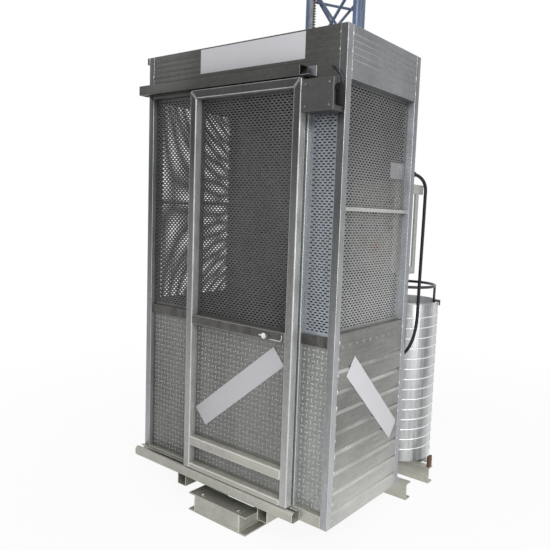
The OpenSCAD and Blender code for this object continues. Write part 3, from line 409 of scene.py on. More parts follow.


# The header's bright marks, part wear and part painted highlight, are above 1 because its edges run level,
# where the workshop marks only part of them.
FINISHES: dict[str, Zinc | Coat | Timber] = {
    finish.name: finish
    for finish in (
        # Painted shade and light: zinc_front and zinc_track are dark, shaded copies of the coat for faces
        # turned to the front; zinc_header is the lit copy for the side.
        Zinc("zinc_front", (0.077, 0.076, 0.073), spread=0.26, grain=Axis.X),
        Zinc("zinc_track", (0.065, 0.065, 0.062), spread=0.26, grain=Axis.X),
        # Painted shade: where fade and top are set, on the posts, door tubes, jambs, meshes and side panels,
        # the coat darkens higher up.
        Zinc("zinc_post", (0.35, 0.358, 0.368), spread=0.22, roughness=0.3, grain=Axis.Z,
             fade=(0.4, 1.7), top=0.26),
        Zinc("zinc_rear_post", (0.30, 0.312, 0.335), spread=0.2, roughness=0.3, grain=Axis.Z,
             fade=(0.6, 2.0), top=0.62),
        # Painted reflection: the side panels' drifted clouds are painted reflection bands.
        Zinc("zinc_side", (0.38, 0.378, 0.36), spread=0.34, roughness=0.28, crystal=0.06, grain=Axis.Y,
             drift=(1.0, 0.7, 1.2), drift_scale=2.0, patch_scale=6.0, patch_low=0.0, fade=(0.22, 0.6),
             top=0.6),
        Zinc("zinc_header", (0.205, 0.211, 0.22), spread=0.2, grain=Axis.Y, wear_and_highlight_gain=2.4, patch_low=0.8,
             wear_and_highlight_fade=(-0.85, -0.6)),
        Zinc("zinc_door", (0.37, 0.374, 0.368), spread=0.24, roughness=0.3, grain=Axis.Z, wear_and_highlight_gain=0.75,
             fade=(0.45, 2.0), top=0.16),
        # Painted light: zinc_jamb is a lighter copy of the door tubes' coat.
        Zinc("zinc_jamb", (0.46, 0.475, 0.48), roughness=0.3, grain=Axis.Z, top=0.85),
        # Painted shade and light: zinc_rail is a dark, shaded copy for front rails; zinc_side_rail and the
        # low zinc_sill are lit copies of one coat.
        Zinc("zinc_rail", (0.094, 0.091, 0.088), spread=0.32, grain=Axis.Z, drift=(6.0, 1.0, 0.4)),
        Zinc("zinc_side_rail", (0.40, 0.40, 0.385), grain=Axis.Y),
        Zinc("zinc_sill", (0.41, 0.408, 0.365), grain=Axis.X),
        # Painted shade and light: zinc_tread is a dark, shaded copy on the door and the left bay;
        # zinc_bay_tread is the right bay's lit copy.
        Zinc("zinc_tread", (0.168, 0.169, 0.162), spread=0.28, roughness=0.3, stain=0.1),
        Zinc("zinc_bay_tread", (0.285, 0.292, 0.285), spread=0.24, roughness=0.3, stain=0.1),
        # Painted shade and light: zinc_mesh is the lit copy for the sides, zinc_bay_mesh a lit, bluish copy
        # with a painted reflection, zinc_door_mesh a dark, shaded copy.
        Zinc("zinc_mesh", (0.318, 0.322, 0.320), spread=0.22, fade=(1.2, 2.1), top=0.38),
        Zinc("zinc_bay_mesh", (0.37, 0.402, 0.442), spread=0.25, fade=(1.2, 2.2), top=0.6),
        Zinc("zinc_door_mesh", (0.100, 0.100, 0.099), spread=0.3, top=0.85),
        Zinc("zinc_inside", (0.26, 0.258, 0.252), roughness=0.5, metallic=0.4, grain=Axis.Z),
        Zinc("zinc_base", (0.39, 0.385, 0.34), grain=Axis.Y, stain=0.25),
        # Painted light: zinc_cross is a lighter copy of zinc_base, and on the floor bearers it lifts the
        # shade under the car.
        Zinc("zinc_cross", (0.44, 0.435, 0.385), grain=Axis.X, stain=0.25),
        # Painted reflection: the mast's blue tint is a painted reflection of the sky.
        Zinc("zinc_mast", (0.122, 0.157, 0.235), spread=0.25, grain=Axis.Z),
        # Painted highlight: the drum's tall drifted bands, placed by drift_shift, are painted highlight and
        # reflection bands.
        Zinc("zinc_drum", (0.465, 0.475, 0.48), spread=0.52, roughness=0.28, metallic=0.5, crystal=0.03,
             grain=Axis.Z, drift=(1.0, 1.0, 0.03), drift_scale=6.0, drift_shift=(0.2, 0.2, 0.0), stain=0.05),
        # Painted highlight: seam_bright is the drum's sheet made bright, a painted highlight on the seam's
        # rib.
        Zinc("seam_bright", (0.80, 0.81, 0.82), spread=0.08, roughness=0.3, metallic=0.9),
        # Painted shade: zinc_lock is a dark, shaded copy for the lock box's front.
        Zinc("zinc_lock", (0.075, 0.077, 0.074), stain=0.2),
        # Painted shade and highlight: the plated track bracket is painted dark, with its edges painted
        # bright.
        Zinc("zinc_bracket", (0.17, 0.175, 0.19), wear_and_highlight_gain=1.0, patch_low=1.0),
        Zinc("weld", (0.62, 0.63, 0.63), roughness=0.34, spangle=200.0, depth=0.0006),
        # Painted light: the cabinet's cream paint is lifted above its own colour to stand in for light inside
        # the car.
        Paint("beige_paint", (0.72, 0.69, 0.60), marks=0.05),
        Paint("bracket_paint", (0.318, 0.325, 0.305)),
        Paint("drive_paint", (0.16, 0.19, 0.22)),
        Paint("black_paint", (0.016, 0.017, 0.022), roughness=(0.24, 0.44), marks=0.06),
        Paint("plate_white", (0.55, 0.55, 0.575), roughness=(0.29, 0.49), marks=0.1),
        Paint("plate_pale", (0.21, 0.212, 0.22), roughness=(0.29, 0.49), marks=0.2),
        Moulded("black_plastic", (0.009, 0.009, 0.010), gloss=0.1),
        Moulded("grey_plastic", (0.33, 0.34, 0.34)),
        Moulded("red_plastic", (0.72, 0.03, 0.02), roughness=(0.2, 0.38)),
        Moulded("yellow_plastic", (0.75, 0.47, 0.03), roughness=(0.27, 0.45)),
        Moulded("green_plastic", (0.03, 0.26, 0.07), roughness=(0.2, 0.38)),
        Moulded("cable_sheath", (0.011, 0.011, 0.018), roughness=(0.34, 0.52), gloss=0.2, grain=500.0),
        Moulded("buffer_rubber", (0.022, 0.022, 0.022), roughness=(0.67, 0.85), grain=350.0, depth=0.0004),
        Plated("chrome", (0.78, 0.79, 0.80)),
        Plated("bright_steel", (0.70, 0.71, 0.72), roughness=(0.168, 0.408)),
        Plated("gear_steel", (0.27, 0.27, 0.27), roughness=(0.28, 0.68), depth=0.00025),
        Plated("roller_iron", (0.17, 0.17, 0.175), roughness=(0.315, 0.765), depth=0.00035),
        Timber("brown_wood", (0.17, 0.09, 0.045), (0.06, 0.03, 0.016)),
    )
}


class Paintbox:
    """Hands out each finish's material, built once."""

    def __init__(self) -> None:
        """Start with no materials."""
        self.made: dict[str, Material] = {}

    def get(self, name: str) -> Material:
        """The material of a named finish."""
        return self.made.get(name) or self.made.setdefault(name, FINISHES[name].material())


class NodeTree(Nodes):
    """A Geometry Nodes tree with named inputs, the last of which is the finish of what it makes."""

    def __init__(self, name: str, inputs: dict[str, str]) -> None:
        """Start a tree.

        Args:
            name: the tree's name.
            inputs: the kind of each input socket, by the socket's name.
        """
        super().__init__(bpy.data.node_groups.new(name, "GeometryNodeTree"))
        self.keys: dict[str, str] = {}
        sockets = self.tree.interface
        for label, kind in {"Geometry": "Geometry", **inputs, "Finish": "Material"}.items():
            socket = sockets.new_socket(label, in_out="INPUT", socket_type=f"NodeSocket{kind}")
            self.keys[label] = socket.identifier
        sockets.new_socket("Geometry", in_out="OUTPUT", socket_type="NodeSocketGeometry")
        self.source = self.add("NodeGroupInput").outputs
        self.result = self.add("NodeGroupOutput").inputs[0]

    def vector(self, x: Any, y: Any, z: Any) -> Socket:
        """A vector of three values or sockets."""
        return self.add("ShaderNodeCombineXYZ", {0: x, 1: y, 2: z}).outputs[0]

    def cell(self) -> tuple[Socket, Socket, Socket]:
        """Number the cells of a grid row by row.

        Returns:
            A cell's index, row and column.
        """
        index, columns = self.add("GeometryNodeInputIndex").outputs[0], self.source["Columns"]
        row = self.math("FLOOR", self.math("DIVIDE", self.math("ADD", index, 0.5), columns))
        return index, row, self.math("SUBTRACT", index, self.math("MULTIPLY", row, columns))

    def points(self, count: Socket, along: Socket, up: Socket) -> Socket:
        """Loose points of a grid.

        Args:
            count: how many there are.
            along: how many pitches each one is from the start along X.
            up: how many pitches it is from the start along Z.

        Returns:
            The points.
        """
        x, z = (self.math("ADD", self.source[f"Start {axis}"],
                          self.math("MULTIPLY", steps, self.source[f"Pitch {axis}"]))
                for axis, steps in (("X", along), ("Z", up)))
        return self.add("GeometryNodePoints", {"Count": count, "Position": self.vector(x, 0.0, z)}).outputs[0]

    def scatter(self, points: Socket, shape: str, turn: dict[str, Socket] | None = None) -> Socket:
        """Copies of an input object on points.

        Args:
            points: the points, or a mesh whose corners are taken.
            shape: the name of the input socket that holds the object.
            turn: the copies' Rotation and Scale, where they have them.

        Returns:
            The instances.
        """
        info = self.add("GeometryNodeObjectInfo", {"Object": self.source[shape]})
        inputs = {"Points": points, "Instance": info.outputs["Geometry"], **(turn or {})}
        return self.add("GeometryNodeInstanceOnPoints", inputs).outputs[0]

    def close(self, parts: Sequence[Socket], weld: float = 0.0) -> NodeTree:
        """Join the parts, make them real, weld them and give them their finish.

        Args:
            parts: the parts' geometry.
            weld: the distance within which corners are welded, or 0.

        Returns:
            The tree itself.
        """
        join = self.add("GeometryNodeJoinGeometry")
        for part in parts:
            self.feed(join.inputs[0], part)
        last = self.add("GeometryNodeRealizeInstances", {0: join.outputs[0]}).outputs[0]
        if weld:
            last = self.add("GeometryNodeMergeByDistance", {"Geometry": last, "Distance": weld}).outputs[0]
        paint = self.add("GeometryNodeSetMaterial", {"Geometry": last, "Material": self.source["Finish"]})
        self.feed(self.result, paint.outputs[0])
        return self

    def run(self, mesh: Mesh, values: dict[str, Any]) -> Mesh:
        """Run the tree on a mesh.

        Args:
            mesh: the mesh that the tree starts from.
            values: the tree's inputs by name.

        Returns:
            The result as a plain mesh.
        """
        obj = bpy.data.objects.new("scratch", mesh)
        modifier = obj.modifiers.new("nodes", "NODES")
        modifier.node_group = self.tree
        for label, value in values.items():
            modifier[self.keys[label]] = value
        return bake(obj)


def link(obj: Object) -> Object:
    """Put an object into the scene."""
    bpy.context.scene.collection.objects.link(obj)
    return obj


def bake(obj: Object) -> Mesh:
    """Turn an object with its modifiers into a plain mesh, and remove the object.

    Args:
        obj: an object that isn't in the scene.

    Returns:
        The mesh.
    """
    link(obj)
    graph = bpy.context.evaluated_depsgraph_get()
    graph.update()
    mesh = bpy.data.meshes.new_from_object(obj.evaluated_get(graph))
    bpy.data.objects.remove(obj)
    return mesh


def mesh_of(bm: BMesh, name: str, closed: bool = True) -> Mesh:
    """Turn a bmesh into a mesh.

    Args:
        bm: the bmesh, which is freed.
        name: the mesh's name.
        closed: whether it is closed, so that its faces are turned outwards.

    Returns:
        The mesh.
    """
    if closed:
        bmesh.ops.recalc_face_normals(bm, faces=bm.faces)
    mesh = bpy.data.meshes.new(name)
    bm.to_mesh(mesh)
    bm.free()
    return mesh


def mark_wear_and_highlight(mesh: Mesh, values: Sequence[float]) -> None:
    """Store how far each face's coat is made bright, part wear and part painted highlight."""
    layer = mesh.attributes.get(WEAR_AND_HIGHLIGHT) or mesh.attributes.new(WEAR_AND_HIGHLIGHT, "FLOAT", "FACE")
    layer.data.foreach_set("value", list(values))


def add_skin(bm: BMesh, a: Sequence[BMVert], b: Sequence[BMVert]) -> None:
    """Add the faces between two rings of as many corners.

    Args:
        bm: the mesh that is added to.
        a: the first ring.
        b: the second ring.
    """
    for k in range(len(a)):
        j = (k + 1) % len(a)
        bm.faces.new((a[k], a[j], b[j], b[k]))


def oblong(low: Pair, high: Pair) -> list[Pair]:
    """The outline of an upright oblong between two corners."""
    return [low, (high[0], low[1]), high, (low[0], high[1])]


def prisms(name: str, outlines: Sequence[Sequence[Pair]], y0: float, y1: float) -> Mesh:
    """Prisms along Y.

    Args:
        name: the mesh's name.
        outlines: X and Z of each corner, for each prism.
        y0: where they start.
        y1: where they end.

    Returns:
        One mesh of all of them.
    """
    bm = bmesh.new()
    for outline in outlines:
        front, back = ([bm.verts.new((x, y, z)) for x, z in outline] for y in (y0, y1))
        bm.faces.new(front)
        bm.faces.new(back[::-1])
        add_skin(bm, front, back)
    return mesh_of(bm, name)


def add_lathe(bm: BMesh, profile: Sequence[Pair], place: Matrix, steps: int) -> None:
    """Add a turned shape.

    Args:
        bm: the mesh that is added to.
        profile: radius and height of each point, from one end to the other.
        place: moves the shape from its own axis, Z, to where it goes.
        steps: the number of steps round the axis.
    """
    rings = []
    for r, h in profile:
        angles = [2 * math.pi * k / steps for k in range(steps if r else 1)]
        rings.append([bm.verts.new(place @ Vector((r * math.cos(a), r * math.sin(a), h))) for a in angles])
    for a, b in zip(rings, rings[1:]):
        for k in range(steps):
            j = (k + 1) % steps
            corners = (a[k % len(a)], a[j % len(a)], b[j % len(b)], b[k % len(b)])
            bm.faces.new(list(dict.fromkeys(corners)))


def turned(name: str, profile: Sequence[Pair], places: Sequence[Matrix], steps: int) -> Mesh:
    """Turned shapes of one profile, which closes on the axis or where it starts.

    Args:
        name: the mesh's name.
        profile: radius and height of each point.
        places: where the shapes go.
        steps: the number of steps round the axis.

    Returns:
        One mesh of all of them.
    """
    bm = bmesh.new()
    for place in places:
        add_lathe(bm, profile, place, steps)
    bmesh.ops.remove_doubles(bm, verts=bm.verts, dist=SAME_SPOT)
    return mesh_of(bm, name)


def tube(name: str, points: Sequence[Vector], radius: float, roundness: int) -> Object:
    """A round rod or cable along points.

    Args:
        name: its name.
        points: the points that its middle follows.
        radius: its radius.
        roundness: the bevel resolution of its section.

    Returns:
        A curve object that isn't in the scene.
    """
    curve = bpy.data.curves.new(name, "CURVE")
    curve.dimensions = "3D"
    curve.bevel_depth = radius
    curve.bevel_resolution = roundness
    curve.use_fill_caps = True
    spline = curve.splines.new("POLY")
    spline.points.add(len(points) - 1)
    for target, point in zip(spline.points, points):
        target.co = (*point, 1.0)
    spline.use_smooth = True
    return bpy.data.objects.new(name, curve)


def along_y(x: float, y: float, z: float) -> Matrix:
    """Place a turned shape with its axis along -Y, towards the car's front."""
    return Matrix.Translation((x, y, z)) @ Matrix.Rotation(QUARTER, 4, "X")


@dataclass
class Workshop:
    """Makes finished pieces and hangs them on the frame's bodies."""

    frame: dict[str, Any]
    paints: Paintbox = field(default_factory=Paintbox)
    sharp_angle: float = 40.0
    flat_angle: float = 0.5
    weld: float = 1e-5
    level: float = 0.3
    level_wear_and_highlight: float = 0.35
    facing: float = 0.7

    def soften(self, mesh: Mesh, width: float, segments: int = 2) -> Mesh:
        """Round a mesh's sharp edges, and mark the roundings bright, part wear and part painted highlight,
        those of level edges less so.

        Args:
            mesh: a closed mesh.
            width: the width of the rounding.
            segments: the number of steps across it.

        Returns:
            The rounded mesh.
        """
        mesh.materials.clear()
        for _ in range(2):
            mesh.materials.append(None)
        obj = bpy.data.objects.new("scratch", mesh)
        bevel = obj.modifiers.new("bevel", "BEVEL")
        bevel.width = width
        bevel.segments = segments
        bevel.limit_method = "ANGLE"
        bevel.angle_limit = math.radians(self.sharp_angle)
        bevel.material = 1
        result = bake(obj)
        # Roundings are marked bright, part wear and part painted highlight; level ones less.
        mark_wear_and_highlight(result, [face.material_index * (1.0 if abs(face.normal.z) < self.level else self.level_wear_and_highlight)
                           for face in result.polygons])
        return result

    def sheen_and_wear(self, mesh: Mesh, amount: float, axis: int = 0) -> None:
        """Mark the faces that look both ways along an axis bright, a painted highlight on the sides that
        catch the light.

        Args:
            mesh: a softened mesh.
            amount: how bright they are painted.
            axis: the axis, 0 for X, 1 for Y and 2 for Z.
        """
        values = [0.0] * len(mesh.polygons)
        mesh.attributes[WEAR_AND_HIGHLIGHT].data.foreach_get("value", values)
        # Painted highlight: the faces that look along the axis are marked bright.
        mark_wear_and_highlight(mesh, [max(value, amount) if abs(face.normal[axis]) > self.facing else value
                         for value, face in zip(values, mesh.polygons)])

    def piece(self, name: str, mesh: Mesh, finish: str, body: str, slot: str,
              replaces: Sequence[str] = (), smooth: float = 35.0) -> None:
        """Hang a finished mesh on a body.

        Args:
            name: the piece's name.
            mesh: the mesh, in its place.
            finish: the name of its finish.
            body: the body that it rides on.
            slot: the record's material slot, which is not used.
            replaces: the CAD nodes that it stands for.
            smooth: the angle in degrees up to which edges are shaded smooth.
        """
        mesh.name = name
        mesh.materials.clear()
        mesh.materials.append(self.paints.get(finish))
        mesh.polygons.foreach_set("material_index", [0] * len(mesh.polygons))
        mesh.polygons.foreach_set("use_smooth", [True] * len(mesh.polygons))
        mesh.set_sharp_from_angle(angle=math.radians(smooth))
        obj = link(bpy.data.objects.new(name, mesh))
        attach(obj, body)
        if replaces:
            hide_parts(*replaces)
        LOG.info("%s: %d faces on %s", name, len(mesh.polygons), body)

    def dress(self, node: str, finish: str) -> None:
        """Give a CAD node that stays as it is its finish.

        Args:
            node: the node's name.
            finish: the name of its finish.
        """
        data = self.frame["nodes"][node].data
        data.materials.clear()
        data.materials.append(self.paints.get(finish))

    def rounded(self, node: str, finish: str, width: float, suffix: str = "rounded",
                keep: Callable[[Vector], bool] | None = None, sheen_and_wear: float = 0.0, axis: int = 0) -> None:
        """Replace a CAD node, or some of its solids, by a copy with rounded edges.

        Args:
            node: the node's name.
            finish: the name of its finish.
            width: the width of the rounding.
            suffix: what the piece's name ends in.
            keep: tells by the middle of a face whether it belongs to the piece.
            sheen_and_wear: how bright the faces that look along an axis are painted, a painted highlight.
            axis: that axis, 0 for X and 1 for Y.
        """
        bm = bmesh.new()
        bm.from_mesh(self.frame["nodes"][node].data)
        if keep:
            strange = [face for face in bm.faces if not keep(face.calc_center_median())]
            bmesh.ops.delete(bm, geom=strange, context="FACES")
        bmesh.ops.remove_doubles(bm, verts=bm.verts, dist=self.weld)
        flat = math.radians(self.flat_angle)
        bmesh.ops.dissolve_limit(bm, angle_limit=flat, verts=bm.verts, edges=bm.edges)
        mesh = self.soften(mesh_of(bm, node), width)
        self.sheen_and_wear(mesh, sheen_and_wear, axis)
        record = self.frame["record"]
        slot = next(s["material_slot"] for s in record["subparts"] if s["node"] == node)
        body = next(b for b, nodes in record["behaviour"]["bodies"].items() if node in nodes)
        self.piece(f"{node}_{suffix}", mesh, finish, body, slot, [node])


@dataclass
class Studio:
    """Camera, lamps, floor and surroundings."""

    eye: Point = (2.19565, -3.13394, 1.65991)
    right: Point = (0.80777, 0.58785, 0.04395)
    up: Point = (-0.09338, 0.05399, 0.99417)
    back: Point = (0.58205, -0.80717, 0.09850)
    lens: float = 38.605
    sensor: float = 36.0
    far: float = 60.0
    shift: Pair = (-0.1066, -0.0080)
    fill: float = 0.55
    floor_half: float = 14.0
    floor_z: float = -0.001
    floor_grey: float = 0.9
    shadow_reach: Pair = (1.3, 4.0)
    floor_white: float = 0.92

    def build(self) -> None:
        """Make everything round the object."""
        self.camera()
        self.surroundings()
        self.floor()
        self.lamp("key", place=(3.4, -4.2, 4.4), aim=(0.3, -0.7, 1.3), size=2.4, power=120.0)
        self.lamp("rim", place=(-3.6, -2.6, 3.6), aim=(-0.2, -0.7, 1.2), size=2.0, power=4.0)
        self.lamp("low", place=(3.6, -1.2, 1.0), aim=(0.6, -0.6, 0.7), size=1.6, power=30.0)

    def camera(self) -> None:
        """Stand the camera where the photograph was taken."""
        data = bpy.data.cameras.new("camera")
        data.sensor_width = self.sensor
        data.sensor_fit = "HORIZONTAL"
        data.lens = self.lens
        data.shift_x, data.shift_y = self.shift
        data.clip_end = self.far
        camera = link(bpy.data.objects.new("camera", data))
        turn = Matrix((self.right, self.up, self.back)).transposed().to_4x4()
        camera.matrix_world = Matrix.Translation(self.eye) @ turn
        bpy.context.scene.camera = camera

    def seen(self, nodes: Nodes) -> Socket:
        """Tell rays that are seen from rays that only light.

        Args:
            nodes: the tree that asks.

        Returns:
            1 on rays from the camera, from gloss and through glass, and 0 on all others.
        """
        path = nodes.add("ShaderNodeLightPath").outputs
        direct = nodes.math("MAXIMUM", path["Is Camera Ray"], path["Is Glossy Ray"])
        return nodes.math("MAXIMUM", direct, path["Is Transmission Ray"])

    def surroundings(self) -> None:
        """White for the camera and in reflections, and softer as a light."""
        world = bpy.data.worlds.new("surroundings")
        bpy.context.scene.world = world
        world.use_nodes = True
        nodes = Nodes(world.node_tree)
        background = world.node_tree.nodes["Background"].inputs
        nodes.feed(background["Color"], (1.0, 1.0, 1.0, 1.0))
        nodes.feed(background["Strength"], nodes.span(self.seen(nodes), 0.0, 1.0, self.fill, 1.0))

    def floor(self) -> None:
        """A white floor that keeps a faint shadow."""
        bm = bmesh.new()
        bmesh.ops.create_grid(bm, x_segments=1, y_segments=1, size=self.floor_half)
        floor = link(bpy.data.objects.new("floor", mesh_of(bm, "floor")))
        floor.location.z = self.floor_z
        shader = Shader("floor")
        tree = shader.tree
        tree.nodes.remove(tree.nodes["Principled BSDF"])
        away = shader.add("ShaderNodeVectorMath", {0: shader.coords}, operation="LENGTH").outputs["Value"]
        near = shader.span(away, *self.shadow_reach, self.floor_white, 1.0)
        share = shader.math("MULTIPLY", self.seen(shader), near)
        matt = shader.add("ShaderNodeBsdfDiffuse", {"Color": (*[self.floor_grey] * 3, 1.0)}).outputs[0]
        white = shader.add("ShaderNodeEmission", {"Strength": 1.0}).outputs[0]
        mix = shader.add("ShaderNodeMixShader", {0: share, 1: matt, 2: white})
        shader.feed(tree.nodes["Material Output"].inputs["Surface"], mix.outputs[0])
        floor.data.materials.append(shader.material)

    def lamp(self, name: str, place: Point, aim: Point, size: float, power: float) -> None:
        """Add a square soft lamp.

        Args:
            name: the lamp's name.
            place: where it stands.
            aim: the point that it shines at.
            size: the length of its side.
            power: its power in watts.
        """
        data = bpy.data.lights.new(name, "AREA")
        data.size = size
        data.energy = power
        lamp = link(bpy.data.objects.new(name, data))
        lamp.location = place
        lamp.rotation_euler = (Vector(aim) - Vector(place)).to_track_quat("-Z", "Y").to_euler()


@dataclass
class SheetMaker:
    """Perforated sheets and tread plates, in their own plane: X along, Z up, the front face at Y = 0."""

    shop: Workshop
    thickness: float = 0.003
    slot_l: float = 0.0185
    slot_h: float = 0.0066
    pitch_x: float = 0.027
    pitch_z: float = 0.012
    margin: float = 0.010
    bar_l: float = 0.023
    bar_w: float = 0.0068
    bar_h: float = 0.0025
    bar_root: float = 0.0004
    bar_blunt: float = 0.65
    bar_steps: int = 12
    bar_pitch: float = 0.027
    weld: float = 1e-5

    def __post_init__(self) -> None:
        """Build the trees and the shapes that they repeat."""
        self.tile, self.blank, self.bar = (bpy.data.objects.new(mesh.name, mesh) for mesh in (
            self.tile_mesh(), self.blank_mesh(), self.bar_mesh()))
        grid = {"Columns": "Int", "Rows": "Int", "Pitch X": "Float", "Pitch Z": "Float",
                "Start X": "Float", "Start Z": "Float"}
        cells = {"Tile": "Object", "Blank": "Object", **grid}
        self.perforate = self.perforation(NodeTree("perforation", cells))
        self.emboss = self.embossing(NodeTree("tread", {"Bar": "Object", **grid}))

    def tile_mesh(self) -> Mesh:
        """One cell of the perforation: a rectangle with a round-ended slot.

        Returns:
            Its mesh, open at its rim.
        """
        bm = bmesh.new()
        w, h, r = self.pitch_x, self.pitch_z, self.slot_h / 2
        reach = self.slot_l / 2 - r
        angles = [math.radians(a) for a in (-90, -45, 0, 45, 90)]
        right = [(w / 2 + reach + r * math.cos(a), h / 2 + r * math.sin(a)) for a in angles]
        left = [(w - x, h - z) for x, z in right]
        rim = [(0, 0), (w / 2, 0), (w, 0), (w, h), (w / 2, h), (0, h)]
        sides = []
        for y in (0.0, self.thickness):
            outer, a, b = ([bm.verts.new((x, y, z)) for x, z in corners] for corners in (rim, right, left))
            for face in ((outer[2], outer[3], a[4], a[3], a[2]), (outer[2], a[2], a[1], a[0]),
                         (outer[5], outer[0], b[4], b[3], b[2]), (outer[5], b[2], b[1], b[0]),
                         (*outer[0:3], a[0], b[4]), (*outer[3:6], b[0], a[4])):
                bm.faces.new(face[::-1] if y else face)
            sides.append(a + b)
        add_skin(bm, *sides)
        return mesh_of(bm, "tile", closed=False)

    def blank_mesh(self) -> Mesh:
        """Half a cell without a slot, for the ends of the shifted rows.

        Returns:
            Its mesh, open at its rim.
        """
        bm = bmesh.new()
        w, h = self.pitch_x / 2, self.pitch_z
        for y in (0.0, self.thickness):
            corners = [bm.verts.new((x, y, z)) for x, z in ((0, 0), (w, 0), (w, h), (0, h))]
            bm.faces.new(corners[::-1] if y else corners)
        return mesh_of(bm, "blank", closed=False)

    def bar_mesh(self) -> Mesh:
        """One raised bar of a tread plate: a lens along X that stands out of the front face.

        Returns:
            Its mesh, marked as worn.
        """
        bm = bmesh.new()
        turns = [2 * math.pi * k / self.bar_steps for k in range(self.bar_steps)]
        blunt = [[math.copysign(abs(v) ** self.bar_blunt, v) for v in (math.cos(a), math.sin(a))]
                 for a in turns]
        rings = []
        for scale, lift in ((1.0, -self.bar_root), (1.0, 0.0), (0.84, 0.72 * self.bar_h), (0.5, self.bar_h)):
            x, z = scale * self.bar_l / 2, scale * self.bar_w / 2
            rings.append([bm.verts.new((x * long, -lift, z * wide)) for long, wide in blunt])
        for a, b in zip(rings, rings[1:]):
            add_skin(bm, a, b)
        bm.faces.new(rings[0][::-1])
        bm.faces.new(rings[-1])
        mesh = mesh_of(bm, "bar")
        mark_wear_and_highlight(mesh, [1.0] * len(mesh.polygons))
        return mesh

    def perforation(self, t: NodeTree) -> NodeTree:
        """Rows of cells, every other row shifted by half a cell, welded to the sheet's plain margin.

        Args:
            t: the tree with its inputs.

        Returns:
            The finished tree.
        """
        # The quarters that are added keep comparisons and roundings away from whole numbers.
        columns, rows = t.source["Columns"], t.source["Rows"]
        index, row, column = t.cell()
        shift = t.math("ADD", column, t.math("MULTIPLY", t.math("MODULO", row, 2.0), 0.5))
        over = t.math("SUBTRACT", t.math("ADD", shift, 0.75), columns)
        cells = t.add("GeometryNodeDeleteGeometry", {
            "Geometry": t.points(t.math("MULTIPLY", columns, rows), shift, row),
            "Selection": t.math("GREATER_THAN", over, 0.0),
        })
        pair = t.math("FLOOR", t.math("DIVIDE", t.math("ADD", index, 0.25), 2.0))
        end_row = t.math("ADD", t.math("MULTIPLY", pair, 2.0), 1.0)
        reach = t.math("MULTIPLY", t.math("MODULO", index, 2.0), t.math("SUBTRACT", columns, 0.5))
        count = t.math("MULTIPLY", t.math("FLOOR", t.math("DIVIDE", rows, 2.0)), 2.0)
        ends = t.points(count, reach, end_row)
        return t.close([t.source["Geometry"], t.scatter(cells.outputs[0], "Tile"), t.scatter(ends, "Blank")],
                       self.weld)

    def embossing(self, t: NodeTree) -> NodeTree:
        """Raised bars on a square grid, turned by a right angle from one to the next.

        Args:
            t: the tree with its inputs.

        Returns:
            The finished tree.
        """
        _, row, column = t.cell()
        turn = t.math("MULTIPLY", t.math("MODULO", t.math("ADD", row, column), 2.0), QUARTER)
        count = t.math("MULTIPLY", t.source["Columns"], t.source["Rows"])
        middles = t.points(count, t.math("ADD", column, 0.5), t.math("ADD", row, 0.5))
        bars = t.scatter(middles, "Bar", {"Rotation": t.vector(0.0, turn, 0.0)})
        return t.close([t.source["Geometry"], bars])

    def grid(self, size: Pair, pitch: Pair, margin: float) -> dict[str, Any]:
        """Lay a grid into the middle of a sheet.

        Args:
            size: the sheet's length and height.
            pitch: the length and height of a cell.
            margin: the least margin round the grid.

        Returns:
            The values of a tree's inputs.
        """
        values = {}
        for axis, lines, length, step in zip("XZ", ("Columns", "Rows"), size, pitch):
            count = int((length - 2 * margin) / step)
            values |= {lines: count, f"Pitch {axis}": step, f"Start {axis}": (length - count * step) / 2}
        return values

    def margin_mesh(self, xs: list[float], zs: list[float]) -> Mesh:
        """The plain margin round a field of cells, with corners where the cells have theirs.

        Args:
            xs: the lines along X, with the sheet's edges first and last.
            zs: the lines along Z, likewise.

        Returns:
            The margin, open where the field goes.
        """
        bm = bmesh.new()
        made: dict[tuple[int, int, int], BMVert] = {}

        def corner(i: int, j: int, side: int) -> BMVert:
            """The corner on two lines, on the front or the back."""
            if (i, j, side) not in made:
                made[i, j, side] = bm.verts.new((xs[i], side * self.thickness, zs[j]))
            return made[i, j, side]

        nx, nz = len(xs) - 1, len(zs) - 1
        for i in range(nx):
            for j in range(nz):
                if 0 < i < nx - 1 and 0 < j < nz - 1:
                    continue
                cell = ((i, j), (i + 1, j), (i + 1, j + 1), (i, j + 1))
                bm.faces.new([corner(a, b, 0) for a, b in cell])
                bm.faces.new([corner(a, b, 1) for a, b in cell[::-1]])
        loop = [(i, 0) for i in range(nx)] + [(nx, j) for j in range(nz)]
        loop += [(i, nz) for i in range(nx, 0, -1)] + [(0, j) for j in range(nz, 0, -1)]
        for (a, b), (c, d) in zip(loop, loop[1:] + loop[:1]):
            bm.faces.new((corner(a, b, 0), corner(a, b, 1), corner(c, d, 1), corner(c, d, 0)))
        return mesh_of(bm, "margin", closed=False)

    def perforated(self, width: float, height: float, place: Point, finish: str) -> Mesh:
        """A perforated sheet.

        Args:
            width: the sheet's length along X.
            height: the sheet's height.
            place: where its lower left corner goes.
            finish: the name of its finish.

        Returns:
            The sheet's mesh.
        """
        grid = self.grid((width, height), (self.pitch_x, self.pitch_z), self.margin)
        xs = [grid["Start X"] + k * self.pitch_x / 2 for k in range(2 * grid["Columns"] + 1)]
        zs = [grid["Start Z"] + k * self.pitch_z for k in range(grid["Rows"] + 1)]
        margin = self.margin_mesh([0.0, *xs, width], [0.0, *zs, height])
        values = {"Tile": self.tile, "Blank": self.blank, **grid, "Finish": self.shop.paints.get(finish)}
        mesh = self.perforate.run(margin, values)
        mesh.transform(Matrix.Translation(place))
        return mesh

